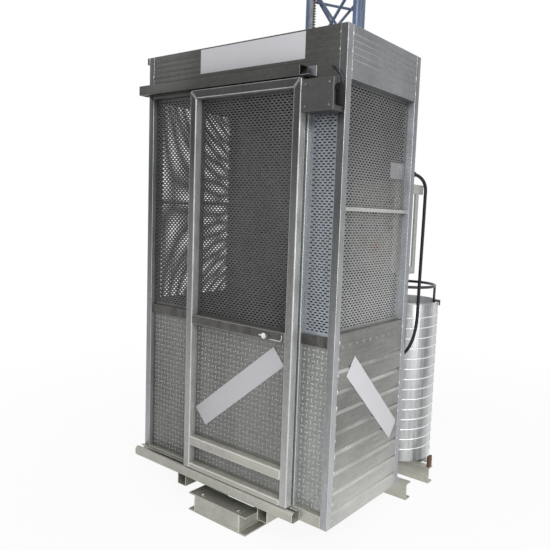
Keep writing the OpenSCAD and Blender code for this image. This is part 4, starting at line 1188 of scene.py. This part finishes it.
    def tread(self, width: float, height: float, place: Point, finish: str) -> Mesh:
        """A tread plate with raised bars on its front.

        Args:
            width: the plate's length along X.
            height: the plate's height.
            place: where its lower left corner goes.
            finish: the name of its finish.

        Returns:
            The plate's mesh.
        """
        grid = self.grid((width, height), (self.bar_pitch, self.bar_pitch), 0.0)
        plate = prisms("plate", [oblong((0.0, 0.0), (width, height))], 0.0, self.thickness)
        mesh = self.emboss.run(plate, {"Bar": self.bar, **grid, "Finish": self.shop.paints.get(finish)})
        mesh.transform(Matrix.Translation(place))
        return mesh


@dataclass
class Studs:
    """Small things that sit in rows: bolt heads, spot welds and weld beads."""

    shop: Workshop
    root: float = 0.0005
    seed: int = 7
    washer_steps: int = 20
    head_steps: int = 6
    dome_steps: int = 14
    bead_steps: tuple[int, int] = (10, 6)

    def __post_init__(self) -> None:
        """Build the tree that sets them on points."""
        t = NodeTree("studs", {"Shape": "Object", "Turn": "Vector", "Spread": "Float"})
        least, most = (t.math(way, 1.0, t.source["Spread"]) for way in ("SUBTRACT", "ADD"))
        random = t.add("FunctionNodeRandomValue", {2: least, 3: most, "Seed": self.seed}, data_type="FLOAT")
        size = random.outputs[1]
        turn = {"Rotation": t.source["Turn"], "Scale": t.vector(size, size, size)}
        self.tree = t.close([t.scatter(t.source["Geometry"], "Shape", turn)])

    def row(self, points: Sequence[Point], shape: Mesh, turn: Point, finish: str,
            spread: float = 0.0) -> Mesh:
        """Copies of a shape on points.

        Args:
            points: where they sit.
            shape: the shape, standing on its own XY plane.
            turn: Euler angles that turn its Z axis out of the surface.
            finish: the name of the finish.
            spread: how much their sizes vary.

        Returns:
            One mesh of all of them.
        """
        mesh = bpy.data.meshes.new("points")
        mesh.from_pydata([tuple(p) for p in points], [], [])
        values = {"Shape": bpy.data.objects.new("shape", shape), "Turn": turn, "Spread": spread}
        return self.tree.run(mesh, {**values, "Finish": self.shop.paints.get(finish)})

    def bolt(self, radius: float, height: float) -> Mesh:
        """A hexagon bolt head on a washer.

        Args:
            radius: half the head's width over its corners.
            height: the height of both.

        Returns:
            Its mesh.
        """
        washer, top, seat = 1.35 * radius, 0.26 * height, 0.2 * height
        bm = bmesh.new()
        add_lathe(bm, [(0, -self.root), (washer, -self.root), (washer, seat), (washer - 0.1 * radius, top),
                       (0, top)], Matrix.Identity(4), self.washer_steps)
        add_lathe(bm, [(0, seat), (radius, seat), (radius, 0.92 * height), (0.86 * radius, height),
                       (0, height)], Matrix.Identity(4), self.head_steps)
        return mesh_of(bm, "bolt")

    def dome(self, radius: float, height: float) -> Mesh:
        """A low round head or spot weld."""
        profile = [(0, -0.8 * self.root), (radius, -0.8 * self.root), (0.93 * radius, 0.45 * height),
                   (0.62 * radius, 0.86 * height), (0, height)]
        return turned("dome", profile, [Matrix.Identity(4)], self.dome_steps)

    def bead(self, length: float, width: float) -> Mesh:
        """A short weld bead along X.

        Args:
            length: its length.
            width: its width.

        Returns:
            Its mesh.
        """
        bm = bmesh.new()
        stretch = Matrix.Diagonal((length, width, 0.7 * width, 1.0))
        u, v = self.bead_steps
        bmesh.ops.create_uvsphere(bm, u_segments=u, v_segments=v, radius=0.5, matrix=stretch)
        return mesh_of(bm, "bead")


@dataclass
class Car:
    """The car's shell: posts, headers, panels, sheets, floor and roof."""

    shop: Workshop
    sheets: SheetMaker
    studs: Studs
    panel_t: float = 0.02
    panel_edge: float = 0.0015
    ledge_t: float = 0.01
    groove_n: int = 8
    groove_z: float = 0.0735
    groove_pitch: float = 0.098
    groove_w: float = 0.03
    groove_d: float = 0.005
    groove_steps: int = 10
    groove_highlight: float = 0.45
    groove_tilt: Pair = (0.1, 0.9)
    side_gap: float = 0.0001
    post_edge: float = 0.006
    post_highlight: float = 0.3
    reveal_highlight: float = 0.85
    head_seam: float = 0.145
    bead_l: float = 0.02
    bead_w: float = 0.006
    bead_pitch: float = 0.075
    bead_spread: float = 0.35
    spot_r: float = 0.009
    spot_h: float = 0.0026
    spot_pitch: float = 0.058
    spot_z: float = 1.045
    spot_spread: float = 0.15

    def build(self) -> None:
        """Make and dress all of it."""
        for node, finish, width in (
            ("front_jambs", "zinc_jamb", 0.004), ("floor_frame", "zinc_sill", 0.004),
            ("floor_bearers", "zinc_cross", 0.003), ("top_track", "zinc_track", 0.0012),
            ("bottom_track", "zinc_sill", 0.0012), ("track_bracket", "zinc_bracket", 0.003),
            ("rear_panel", "zinc_inside", 0.002), ("roof_sheet", "zinc_header", 0.0015),
        ):
            self.shop.rounded(node, finish, width)
        middle = sum(corner.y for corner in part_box("corner_posts")) / 2
        # Painted highlight: the front posts' side faces and the rear posts' faces turned to the front are
        # marked bright.
        for suffix, finish, keep, sheen_and_wear, axis in (
            ("front", "zinc_post", lambda p: p.y < middle, self.post_highlight, 0),
            ("rear", "zinc_rear_post", lambda p: p.y > middle, self.reveal_highlight, 1),
        ):
            self.shop.rounded("corner_posts", finish, self.post_edge, suffix, keep, sheen_and_wear, axis)
        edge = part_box("floor_plate")[1].x + self.side_gap
        # Painted shade and light: the front of the headers and the waist rails takes a dark copy of the coat,
        # their sides a light one.
        for node, front, side, width in (("headers", "zinc_front", "zinc_header", 0.0012),
                                         ("waist_rails", "zinc_rail", "zinc_side_rail", 0.002)):
            self.shop.rounded(node, front, width, "front", lambda p: abs(p.x) < edge)
            self.shop.rounded(node, side, width, "side", lambda p: abs(p.x) > edge)
        self.shop.dress("floor_plate", "zinc_inside")
        self.side_panels()
        self.side_sheets()
        self.front_sheets()
        self.welds()

    def side_panels(self) -> None:
        """The lower side panels, with round grooves rolled along them and a ledge at the top."""
        low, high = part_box("lower_panels")
        ledge_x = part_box("floor_plate")[1].x
        outside, inside = high.x, high.x - self.panel_t
        outline = [(inside, high.z), (inside, low.z), (outside, low.z)]
        for k in range(self.groove_n):
            middle = low.z + self.groove_z + k * self.groove_pitch
            for j in range(self.groove_steps + 1):
                share = j / self.groove_steps - 0.5
                dip = self.groove_d * 0.5 * (1 + math.cos(2 * math.pi * share))
                outline.append((outside - dip, middle + self.groove_w * share))
        outline.append((outside, high.z))
        ledge = oblong((ledge_x, high.z - self.ledge_t), (inside, high.z))
        least, most = self.groove_tilt
        for name, side in (("side_panel_right", 1), ("side_panel_left", -1)):
            outlines = [[(side * x, z) for x, z in corners] for corners in (outline, ledge)]
            mesh = self.shop.soften(prisms(name, outlines, low.y, high.y), self.panel_edge)
            # Painted highlight: the groove flanks that face upwards are marked bright.
            mark_wear_and_highlight(mesh, [self.groove_highlight if least < face.normal.z < most else 0.0
                             for face in mesh.polygons])
            self.shop.piece(name, mesh, "zinc_side", "car", "sheet", ["lower_panels"])

    def side_sheets(self) -> None:
        """The perforated sheets in the car's two sides."""
        low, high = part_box("side_meshes")
        for name, corner, turn in (("side_sheet_right", (high.x, low.y, low.z), QUARTER),
                                   ("side_sheet_left", (low.x, high.y, low.z), -QUARTER)):
            mesh = self.sheets.perforated(high.y - low.y, high.z - low.z, (0.0, 0.0, 0.0), "zinc_mesh")
            mesh.transform(Matrix.Translation(corner) @ Matrix.Rotation(turn, 4, "Z"))
            self.shop.piece(name, mesh, "zinc_mesh", "car", "mesh", ["side_meshes"])

    def front_sheets(self) -> None:
        """The perforated sheets and the tread plates on either side of the door."""
        jamb_low, jamb_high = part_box("front_jambs")
        low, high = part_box("front_meshes")
        foot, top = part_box("front_treads")
        # Painted shade and light: the left bay takes the dark copies of the mesh and the tread, the right bay
        # lit ones.
        for side, x0, x1, finish, plate in (
            ("left", low.x, jamb_low.x, "zinc_door_mesh", "zinc_tread"),
            ("right", jamb_high.x, high.x, "zinc_bay_mesh", "zinc_bay_tread"),
        ):
            mesh = self.sheets.perforated(x1 - x0, high.z - low.z, (x0, low.y, low.z), finish)
            self.shop.piece(f"bay_sheet_{side}", mesh, finish, "car", "mesh", ["front_meshes"])
            mesh = self.sheets.tread(x1 - x0, top.z - foot.z, (x0, foot.y, foot.z), plate)
            self.shop.piece(f"bay_tread_{side}", mesh, plate, "car", "sheet", ["front_treads"])

    def upright(self, x: float, y: float, z0: float, z1: float) -> list[Point]:
        """Points of a row of weld beads up a seam."""
        count = max(2, int((z1 - z0) / self.bead_pitch))
        return [(x, y, z0 + (k + 0.5) * (z1 - z0) / count) for k in range(count)]

    def welds(self) -> None:
        """Stitch welds between sheets and posts, and the spot welds above the side panels' ribs."""
        floor_low, floor_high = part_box("floor_plate")
        head_low, head_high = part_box("headers")
        panel_low, panel_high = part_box("lower_panels")
        points = []
        for x in (floor_low.x, floor_high.x):
            points += self.upright(x, head_low.y, head_high.z - self.head_seam, head_high.z)
        for x in (head_low.x, head_high.x):
            for y in (floor_low.y, floor_high.y):
                points += self.upright(x, y, head_low.z, head_high.z)
                points += self.upright(x, y, panel_low.z, panel_high.z)
        bead = self.studs.bead(self.bead_l, self.bead_w)
        mesh = self.studs.row(points, bead, SIDEWAYS, "weld", self.bead_spread)
        self.shop.piece("stitch_welds", mesh, "weld", "car", "galvanised")
        count = int((floor_high.y - floor_low.y) / self.spot_pitch)
        spots = [(panel_high.x, floor_low.y + (k + 0.5) * self.spot_pitch, self.spot_z) for k in range(count)]
        dome = self.studs.dome(self.spot_r, self.spot_h)
        mesh = self.studs.row(spots, dome, SIDEWAYS, "zinc_door", self.spot_spread)
        self.shop.piece("spot_welds", mesh, "zinc_door", "car", "sheet")


@dataclass
class Door:
    """The sliding door: a mitred frame of tubes, a perforated sheet, tread plates, latch and hangers."""

    shop: Workshop
    sheets: SheetMaker
    stile: float = 0.045
    rail: float = 0.05
    mid_z: float = 1.035
    low_z: float = 0.365
    foot: float = 0.03
    joint: float = 0.0003
    edge: float = 0.005
    edge_steps: int = 3
    side_highlight: float = 0.9
    ledge_highlight: float = 0.6
    plate: tuple[float, float, float, float] = (0.336, 0.4135, 1.0428, 1.073)
    plate_y: float = -1.0563
    rim_bend: float = 0.016
    rim_steps: int = 8
    rim_r: float = 0.0022
    rim_roundness: int = 3

    def build(self) -> None:
        """Make and dress all of it."""
        self.tubes()
        self.panels()
        self.latch_rim()
        for node, finish, width in (
            ("door_fittings", "zinc_rail", 0.001), ("latch_handle", "chrome", 0.0015),
            ("hanger_wheels_left", "black_plastic", 0.001), ("hanger_wheels_right", "black_plastic", 0.001),
        ):
            self.shop.rounded(node, finish, width)

    def tubes(self) -> None:
        """The frame, mitred at its upper corners, with three rails across it."""
        low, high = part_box("door_frame")
        w, g = self.stile, self.joint
        x0, x1, z0, z1 = low.x, high.x, low.z, high.z
        frame = [
            [(x0, z0), (x0 + w, z0), (x0 + w, z1 - w - g), (x0, z1 - g)],
            [(x1, z0), (x1, z1 - g), (x1 - w, z1 - w - g), (x1 - w, z0)],
            [(x0 + g, z1), (x0 + w + g, z1 - w), (x1 - w - g, z1 - w), (x1 - g, z1)],
        ]
        rails = [oblong((x0 + w + g, z), (x1 - w - g, z + h))
                 for z, h in ((self.mid_z, self.rail), (self.low_z, self.rail), (z0, self.foot))]
        for name, outlines, finish in (
            ("door_frame_tubes", frame, "zinc_door"), ("door_middle_rail", rails[:1], "zinc_rail"),
            ("door_lower_rails", rails[1:], "zinc_sill"),
        ):
            mesh = self.shop.soften(prisms(name, outlines, low.y, high.y), self.edge, self.edge_steps)
            # Painted highlight: the tubes' side faces and their level faces are marked bright.
            self.shop.sheen_and_wear(mesh, self.side_highlight)
            self.shop.sheen_and_wear(mesh, self.ledge_highlight, 2)
            self.shop.piece(name, mesh, finish, "door", "door_steel", ["door_frame"])

    def panels(self) -> None:
        """The perforated sheet above the middle rail and the tread plates below it."""
        low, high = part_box("door_frame")
        x0, x1 = low.x + self.stile, high.x - self.stile
        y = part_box("door_panels")[0].y
        perforated, tread = self.sheets.perforated, self.sheets.tread
        for name, maker, z0, z1, finish in (
            ("door_sheet", perforated, self.mid_z + self.rail, high.z - self.stile, "zinc_door_mesh"),
            ("door_tread_upper", tread, self.low_z + self.rail, self.mid_z, "zinc_tread"),
            ("door_tread_lower", tread, low.z + self.foot, self.low_z, "zinc_tread"),
        ):
            mesh = maker(x1 - x0, z1 - z0, (x0, y, z0), finish)
            self.shop.piece(name, mesh, finish, "door", "mesh", ["door_panels"])

    def latch_rim(self) -> None:
        """The bright rolled rim along the latch plate's lower edge and round its end."""
        x0, x1, z0, z1 = self.plate
        bend, y = self.rim_bend, self.plate_y
        turns = [QUARTER * k / self.rim_steps for k in range(self.rim_steps + 1)]
        arc = [(x1 - bend + bend * math.sin(a), y, z0 + bend - bend * math.cos(a)) for a in turns]
        rim = tube("latch_rim", [(x0, y, z0), *arc, (x1, y, z1)], self.rim_r, self.rim_roundness)
        self.shop.piece("latch_rim", bake(rim), "bright_steel", "door", "bright_steel")


@dataclass
class Base:
    """The ground frame, the mast with its rack, and the drive behind the car."""

    shop: Workshop
    studs: Studs
    bolt_r: float = 0.009
    bolt_h: float = 0.008
    bolt_inset: float = 0.03

    def build(self) -> None:
        """Make and dress all of it."""
        for node, finish, width in (
            ("long_channels", "zinc_base", 0.0025), ("front_plate", "zinc_cross", 0.0015),
            ("cross_channels", "zinc_cross", 0.0025), ("link_channels", "zinc_base", 0.0025),
            ("mast_plate", "zinc_cross", 0.002), ("drive_rails", "zinc_mast", 0.004),
            ("drive_plates", "zinc_mast", 0.0015), ("gearbox", "drive_paint", 0.006),
            ("safety_gear", "drive_paint", 0.003), ("junction_box", "grey_plastic", 0.004),
            ("stop_block", "brown_wood", 0.003),
        ):
            self.shop.rounded(node, finish, width)
        for node, finish in (
            ("mast_lower", "zinc_mast"), ("mast_upper", "zinc_mast"), ("mast_bolts", "bright_steel"),
            ("racks", "gear_steel"), ("drive_pinion", "gear_steel"), ("safety_pinion", "gear_steel"),
            ("roller_axles", "bright_steel"), ("motor", "drive_paint"), ("buffers", "buffer_rubber"),
            ("roller_low_left", "roller_iron"), ("roller_low_right", "roller_iron"),
            ("roller_high_left", "roller_iron"), ("roller_high_right", "roller_iron"),
        ):
            self.shop.dress(node, finish)
        self.bolts()

    def bolts(self) -> None:
        """Bolts on the front plate's flange."""
        low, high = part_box("front_plate")
        inset = self.bolt_inset
        points = [(x, low.y + inset, high.z) for x in (low.x + inset, high.x - inset)]
        bolt = self.studs.bolt(self.bolt_r, self.bolt_h)
        mesh = self.studs.row(points, bolt, (0.0, 0.0, 0.0), "bright_steel")
        self.shop.piece("front_plate_bolts", mesh, "bright_steel", "base", "bright_steel")


@dataclass
class CableBin:
    """The round sheet-metal bin with its wound seam and the black guide ring."""

    shop: Workshop
    wall: float = 0.003
    rim: float = 0.005
    foot: float = 0.002
    lip: float = 0.001
    steps: int = 96
    seam_pitch: float = 0.065
    seam_start: float = 0.024
    seam_ends: float = 0.06
    seam_r: float = 0.0042
    seam_sides: int = 10
    seam_smooth: float = 80.0
    turn_steps: int = 64

    def __post_init__(self) -> None:
        """Measure the bin: the middle of its foot, its wall's outer radius and its height."""
        low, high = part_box("cable_drum")
        self.axis = Vector(((low.x + high.x) / 2, (low.y + high.y) / 2, low.z))
        self.radius = (high.x - low.x) / 2 - self.rim
        self.height = high.z - low.z

    def build(self) -> None:
        """Make and dress all of it."""
        self.drum()
        self.seam()
        self.shop.dress("guide_ring", "black_paint")

    def drum(self) -> None:
        """The bin itself, with a rolled rim and an inside painted bright, painted light."""
        r, h, w, roll = self.radius, self.height, self.wall, self.rim
        profile = [(0, 0), (r - self.foot, 0), (r, self.foot), (r, h - 2.4 * roll),
                   (r + 0.7 * roll, h - 2.1 * roll), (r + roll, h - 1.4 * roll),
                   (r + 0.8 * roll, h - 0.5 * roll), (r, h), (r - w, h - self.lip), (r - w, w), (0, w)]
        mesh = turned("drum_shell", profile, [Matrix.Translation(self.axis)], self.steps)
        # Painted light: the inside faces are marked at full, so the inside is painted bright.
        mark_wear_and_highlight(mesh, [float((face.center - self.axis).xy.dot(face.normal.xy) < 0.0)
                         for face in mesh.polygons])
        self.shop.piece("drum_shell", mesh, "zinc_drum", "base", "drum_steel", ["cable_drum"])

    def seam(self) -> None:
        """The folded seam, a rib that winds up the wall."""
        t = NodeTree("wound_seam", {"Radius": "Float", "Height": "Float", "Turns": "Float", "Rib": "Float"})
        path = t.add("GeometryNodeCurveSpiral", {
            "Resolution": self.turn_steps, "Rotations": t.source["Turns"], "Start Radius": t.source["Radius"],
            "End Radius": t.source["Radius"], "Height": t.source["Height"], "Reverse": True,
        })
        ring = t.add("GeometryNodeCurvePrimitiveCircle",
                     {"Resolution": self.seam_sides, "Radius": t.source["Rib"]}, mode="RADIUS")
        sweep = t.add("GeometryNodeCurveToMesh", {
            "Curve": path.outputs[0], "Profile Curve": ring.outputs[0], "Fill Caps": True,
        })
        climb = self.height - self.seam_ends
        # The seam's bright finish is a painted highlight on its rib.
        values = {"Radius": self.radius, "Height": climb, "Turns": climb / self.seam_pitch,
                  "Rib": self.seam_r, "Finish": self.shop.paints.get("seam_bright")}
        mesh = t.close([sweep.outputs[0]]).run(bpy.data.meshes.new("empty"), values)
        mesh.transform(Matrix.Translation(self.axis + Vector((0, 0, self.seam_start))))
        self.shop.piece("wound_seam", mesh, "seam_bright", "base", "drum_steel", ["drum_seam"],
                        self.seam_smooth)


@dataclass
class Controls:
    """The cabinet inside the car with its buttons, and the lock box at the door's right."""

    shop: Workshop
    column: float = 0.088
    row: float = 0.07
    first: Pair = (0.445, 1.73)
    stop: Pair = (0.533, 1.487)
    collar: float = 0.006
    key_r: float = 0.012
    key_rim: float = 0.003
    bore: float = 0.0072
    stem_gap: float = 0.00005
    collar_lap: float = 0.0003
    cap_round: float = 0.0012
    stop_plate_r: float = 0.034
    screw_h: float = 0.0032
    key_steps: int = 28
    plate_steps: int = 40
    cap_steps: int = 36

    def __post_init__(self) -> None:
        """Measure where the face that carries the buttons stands."""
        self.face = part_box("button_collars")[1].y

    def build(self) -> None:
        """Make and dress all of it."""
        for node, finish, width in (
            ("control_cabinet", "beige_paint", 0.004), ("limit_switch", "black_plastic", 0.003),
            ("cable_bracket", "bracket_paint", 0.002), ("cable_glands", "black_plastic", 0.001),
        ):
            self.shop.rounded(node, finish, width)
        plate_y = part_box("lock_box")[0].y + self.screw_h
        self.shop.rounded("lock_box", "zinc_lock", 0.0015, "case", lambda p: p.y > plate_y)
        self.shop.rounded("lock_box", "zinc_bracket", 0.0008, "screws", lambda p: p.y < plate_y)
        self.fixed()
        self.caps()

    def key(self, column: int, row: int) -> Matrix:
        """The place of a button, counted from the top left one."""
        x, z = self.first
        return along_y(x + column * self.column, self.face, z - row * self.row)

    def ring(self, radius: float, shoulder: float, chamfer: float) -> list[Pair]:
        """The closed profile of a collar with a chamfered front edge."""
        bore, h = self.bore, self.collar
        return [(bore, 0), (radius, 0), (radius, shoulder * h), (radius - chamfer, h), (bore, h), (bore, 0)]

    def fixed(self) -> None:
        """Bright rings round the buttons, the plate behind the stop button, and the panel's lamps."""
        r = self.key_r
        ring = self.ring(r + self.key_rim, 0.7, 0.001)
        plate = self.ring(self.stop_plate_r, 0.6, 0.002)
        lens = [(0, 0), (r, 0), (r, 0.003), (0.9 * r, 0.0052), (0.5 * r, 0.0064), (0, 0.0068)]
        stop = along_y(self.stop[0], self.face, self.stop[1])
        dark = [self.key(*place) for place in ((0, 0), (0, 2), (1, 2), (2, 2))]
        for name, finish, profile, places, steps in (
            ("button_rings", "chrome", ring, [self.key(0, 1), self.key(1, 1)], self.key_steps),
            ("stop_plate", "yellow_plastic", plate, [stop], self.plate_steps),
            ("red_lamps", "red_plastic", lens, [self.key(2, 0)], self.key_steps),
            ("dark_lamps", "black_plastic", lens, dark, self.key_steps),
        ):
            mesh = turned(name, profile, places, steps)
            self.shop.piece(name, mesh, finish, "car", "collar_steel", ["button_collars"])

    def caps(self) -> None:
        """The buttons that travel: domed caps on stems."""
        stem, rise = self.bore - self.stem_gap, self.collar - self.collar_lap
        for node, finish in (("stop_button", "red_plastic"), ("up_button", "green_plastic"),
                             ("down_button", "black_plastic")):
            low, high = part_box(node)
            r, top = (high.x - low.x) / 2, high.y - low.y
            head = top - rise
            profile = [(0, 0), (stem, 0), (stem, rise), (0.92 * r, rise), (r, rise + self.cap_round),
                       (r, top - 0.3 * head), (0.9 * r, top - 0.1 * head), (0.5 * r, top), (0, top)]
            place = along_y((low.x + high.x) / 2, high.y, (low.z + high.z) / 2)
            mesh = turned(node, profile, [place], self.cap_steps)
            self.shop.piece(f"{node}_cap", mesh, finish, node, finish, [node])


@dataclass
class Cable:
    """A cable that leaves the car and goes back into it."""

    shop: Workshop
    name: str
    node: str
    radius: float
    route: Sequence[Vector]
    steps: int
    roundness: int = 5

    def smooth(self) -> list[Vector]:
        """Draw a smooth curve through the route's points.

        Returns:
            The curve's points.
        """
        p = [self.route[0], *self.route, self.route[-1]]
        points = []
        for a, b, c, d in zip(p, p[1:], p[2:], p[3:]):
            for k in range(self.steps):
                t = k / self.steps
                points.append(0.5 * (2 * b + (c - a) * t + (2 * a - 5 * b + 4 * c - d) * t ** 2
                                     + (3 * b - a - 3 * c + d) * t ** 3))
        return [*points, p[-1]]

    def build(self) -> None:
        """Make it as a round curve along its route."""
        points = self.smooth()
        obj = link(tube(self.name, points, self.radius, self.roundness))
        obj.data.materials.append(self.shop.paints.get("cable_sheath"))
        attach(obj, "car")
        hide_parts(self.node)


@dataclass
class Cables:
    """The supply cable behind the car's rear corner and the short lead of the limit switch.

    Their routes are in millimetres from a point on the car.
    """

    shop: Workshop
    corner: Point = (0.68, -0.34, 0.175)
    supply_r: float = 0.009
    lead_r: float = 0.004
    supply: Sequence[Point] = (
        (-16, 17, 1704), (-16, 27, 1704), (-14.8, 40.9, 1703), (-11.9, 54.3, 1700.3), (-7.9, 66.8, 1695.6),
        (-3.2, 78.2, 1688.9), (1.7, 88, 1680.2), (6.1, 95.9, 1669.6), (9.8, 101.8, 1657.4),
        (12.6, 106, 1642.3), (14, 108, 1622.5), (14, 108, 1594.5), (13.9, 107.9, 1551.5),
        (13.7, 107.8, 1501.3), (13.3, 107.7, 1451.2), (13, 107.5, 1401), (12.5, 107.3, 1350.9),
        (12.1, 107, 1300.7), (11.6, 106.8, 1250.6), (11.2, 106.6, 1200.4), (10.8, 106.4, 1150.3),
        (10.5, 106.2, 1100.1), (10.2, 106.1, 1050), (10, 106, 999.8), (10.2, 105.5, 949.7),
        (11.9, 100.3, 920.2), (13.7, 92.8, 892.5), (14.6, 84, 865.1), (14.3, 74.3, 838),
        (12.2, 64, 811.2), (7.3, 53.3, 784.9), (-1.4, 42.6, 759.6),
        (-15.5, 32.5, 736.7), (-36.3, 24.4, 718.8), (-62.5, 19.5, 708.2), (-91, 18, 705), (-103, 18, 705),
    )
    start: Point = (0.683, -1.042, 2.2113)
    lead: Sequence[Point] = (
        (0, 0, 0), (0, 0, 10), (-3.6, -1, 26.1), (-12.9, -2.9, 40.7), (-25.6, -3.9, 53.5),
        (-39.4, -2.3, 64.1), (-52.1, 3.8, 72.1), (-61.4, 16.1, 77.2), (-65, 36.4, 78.7), (-65, 41.4, 78.7),
    )

    def build(self) -> None:
        """Make both of them."""
        for name, node, radius, first, points, steps in (
            ("supply_cable_sheath", "supply_cable", self.supply_r, self.corner, self.supply, 3),
            ("switch_lead_sheath", "switch_lead", self.lead_r, self.start, self.lead, 2),
        ):
            route = [Vector(first) + Vector(p) / 1000 for p in points]
            Cable(self.shop, name, node, radius, route, steps).build()


@dataclass
class Plates:
    """Bare plates on the header, the door, the right side and the right mesh."""

    shop: Workshop
    thickness: float = 0.0012
    edge: float = 0.0005
    tread_h: float = 0.0025
    header: tuple[Pair, Pair] = ((-0.254, 2.346), (0.445, 2.468))
    small: tuple[Pair, Pair] = ((-0.53, 1.843), (-0.39, 1.925))
    door: Sequence[Pair] = ((-0.2215, 0.570), (0.3286, 0.9975), (0.400, 0.9136), (-0.1387, 0.4883))
    side: Sequence[Pair] = ((-0.828, 0.984), (-0.398, 0.553), (-0.462, 0.47), (-0.893, 0.897))

    def build(self) -> None:
        """Make all of them."""
        front = Matrix.Translation((0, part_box("headers")[0].y, 0))
        tread = Matrix.Translation((0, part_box("door_panels")[0].y - self.tread_h, 0))
        quarter = Matrix.Rotation(QUARTER, 4, "Z")
        panel, sheet = (Matrix.Translation((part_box(node)[1].x, 0, 0)) @ quarter
                        for node in ("lower_panels", "side_meshes"))
        for name, outline, place, finish, body in (
            ("header_plate", oblong(*self.header), front, "plate_white", "car"),
            ("door_plate", self.door, tread, "plate_white", "door"),
            ("side_plate", self.side, panel, "plate_white", "car"),
            ("mesh_plate", oblong(*self.small), sheet, "plate_pale", "car"),
        ):
            mesh = self.shop.soften(prisms(name, [outline], -self.thickness, 0.0), self.edge)
            mesh.transform(place)
            self.shop.piece(name, mesh, finish, body, "cabinet_paint")


def main() -> None:
    """Build the hoist's looks round the frame."""
    logging.basicConfig(level=logging.INFO, format="%(message)s")
    scene = bpy.context.scene
    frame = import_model()
    scene.view_settings.view_transform = "Standard"
    shop = Workshop(frame)
    Studio().build()
    Cables(shop).build()
    sheets = SheetMaker(shop)
    studs = Studs(shop)
    Car(shop, sheets, studs).build()
    Door(shop, sheets).build()
    Base(shop, studs).build()
    CableBin(shop).build()
    Controls(shop).build()
    Plates(shop).build()


if __name__ == "__main__":
    main()
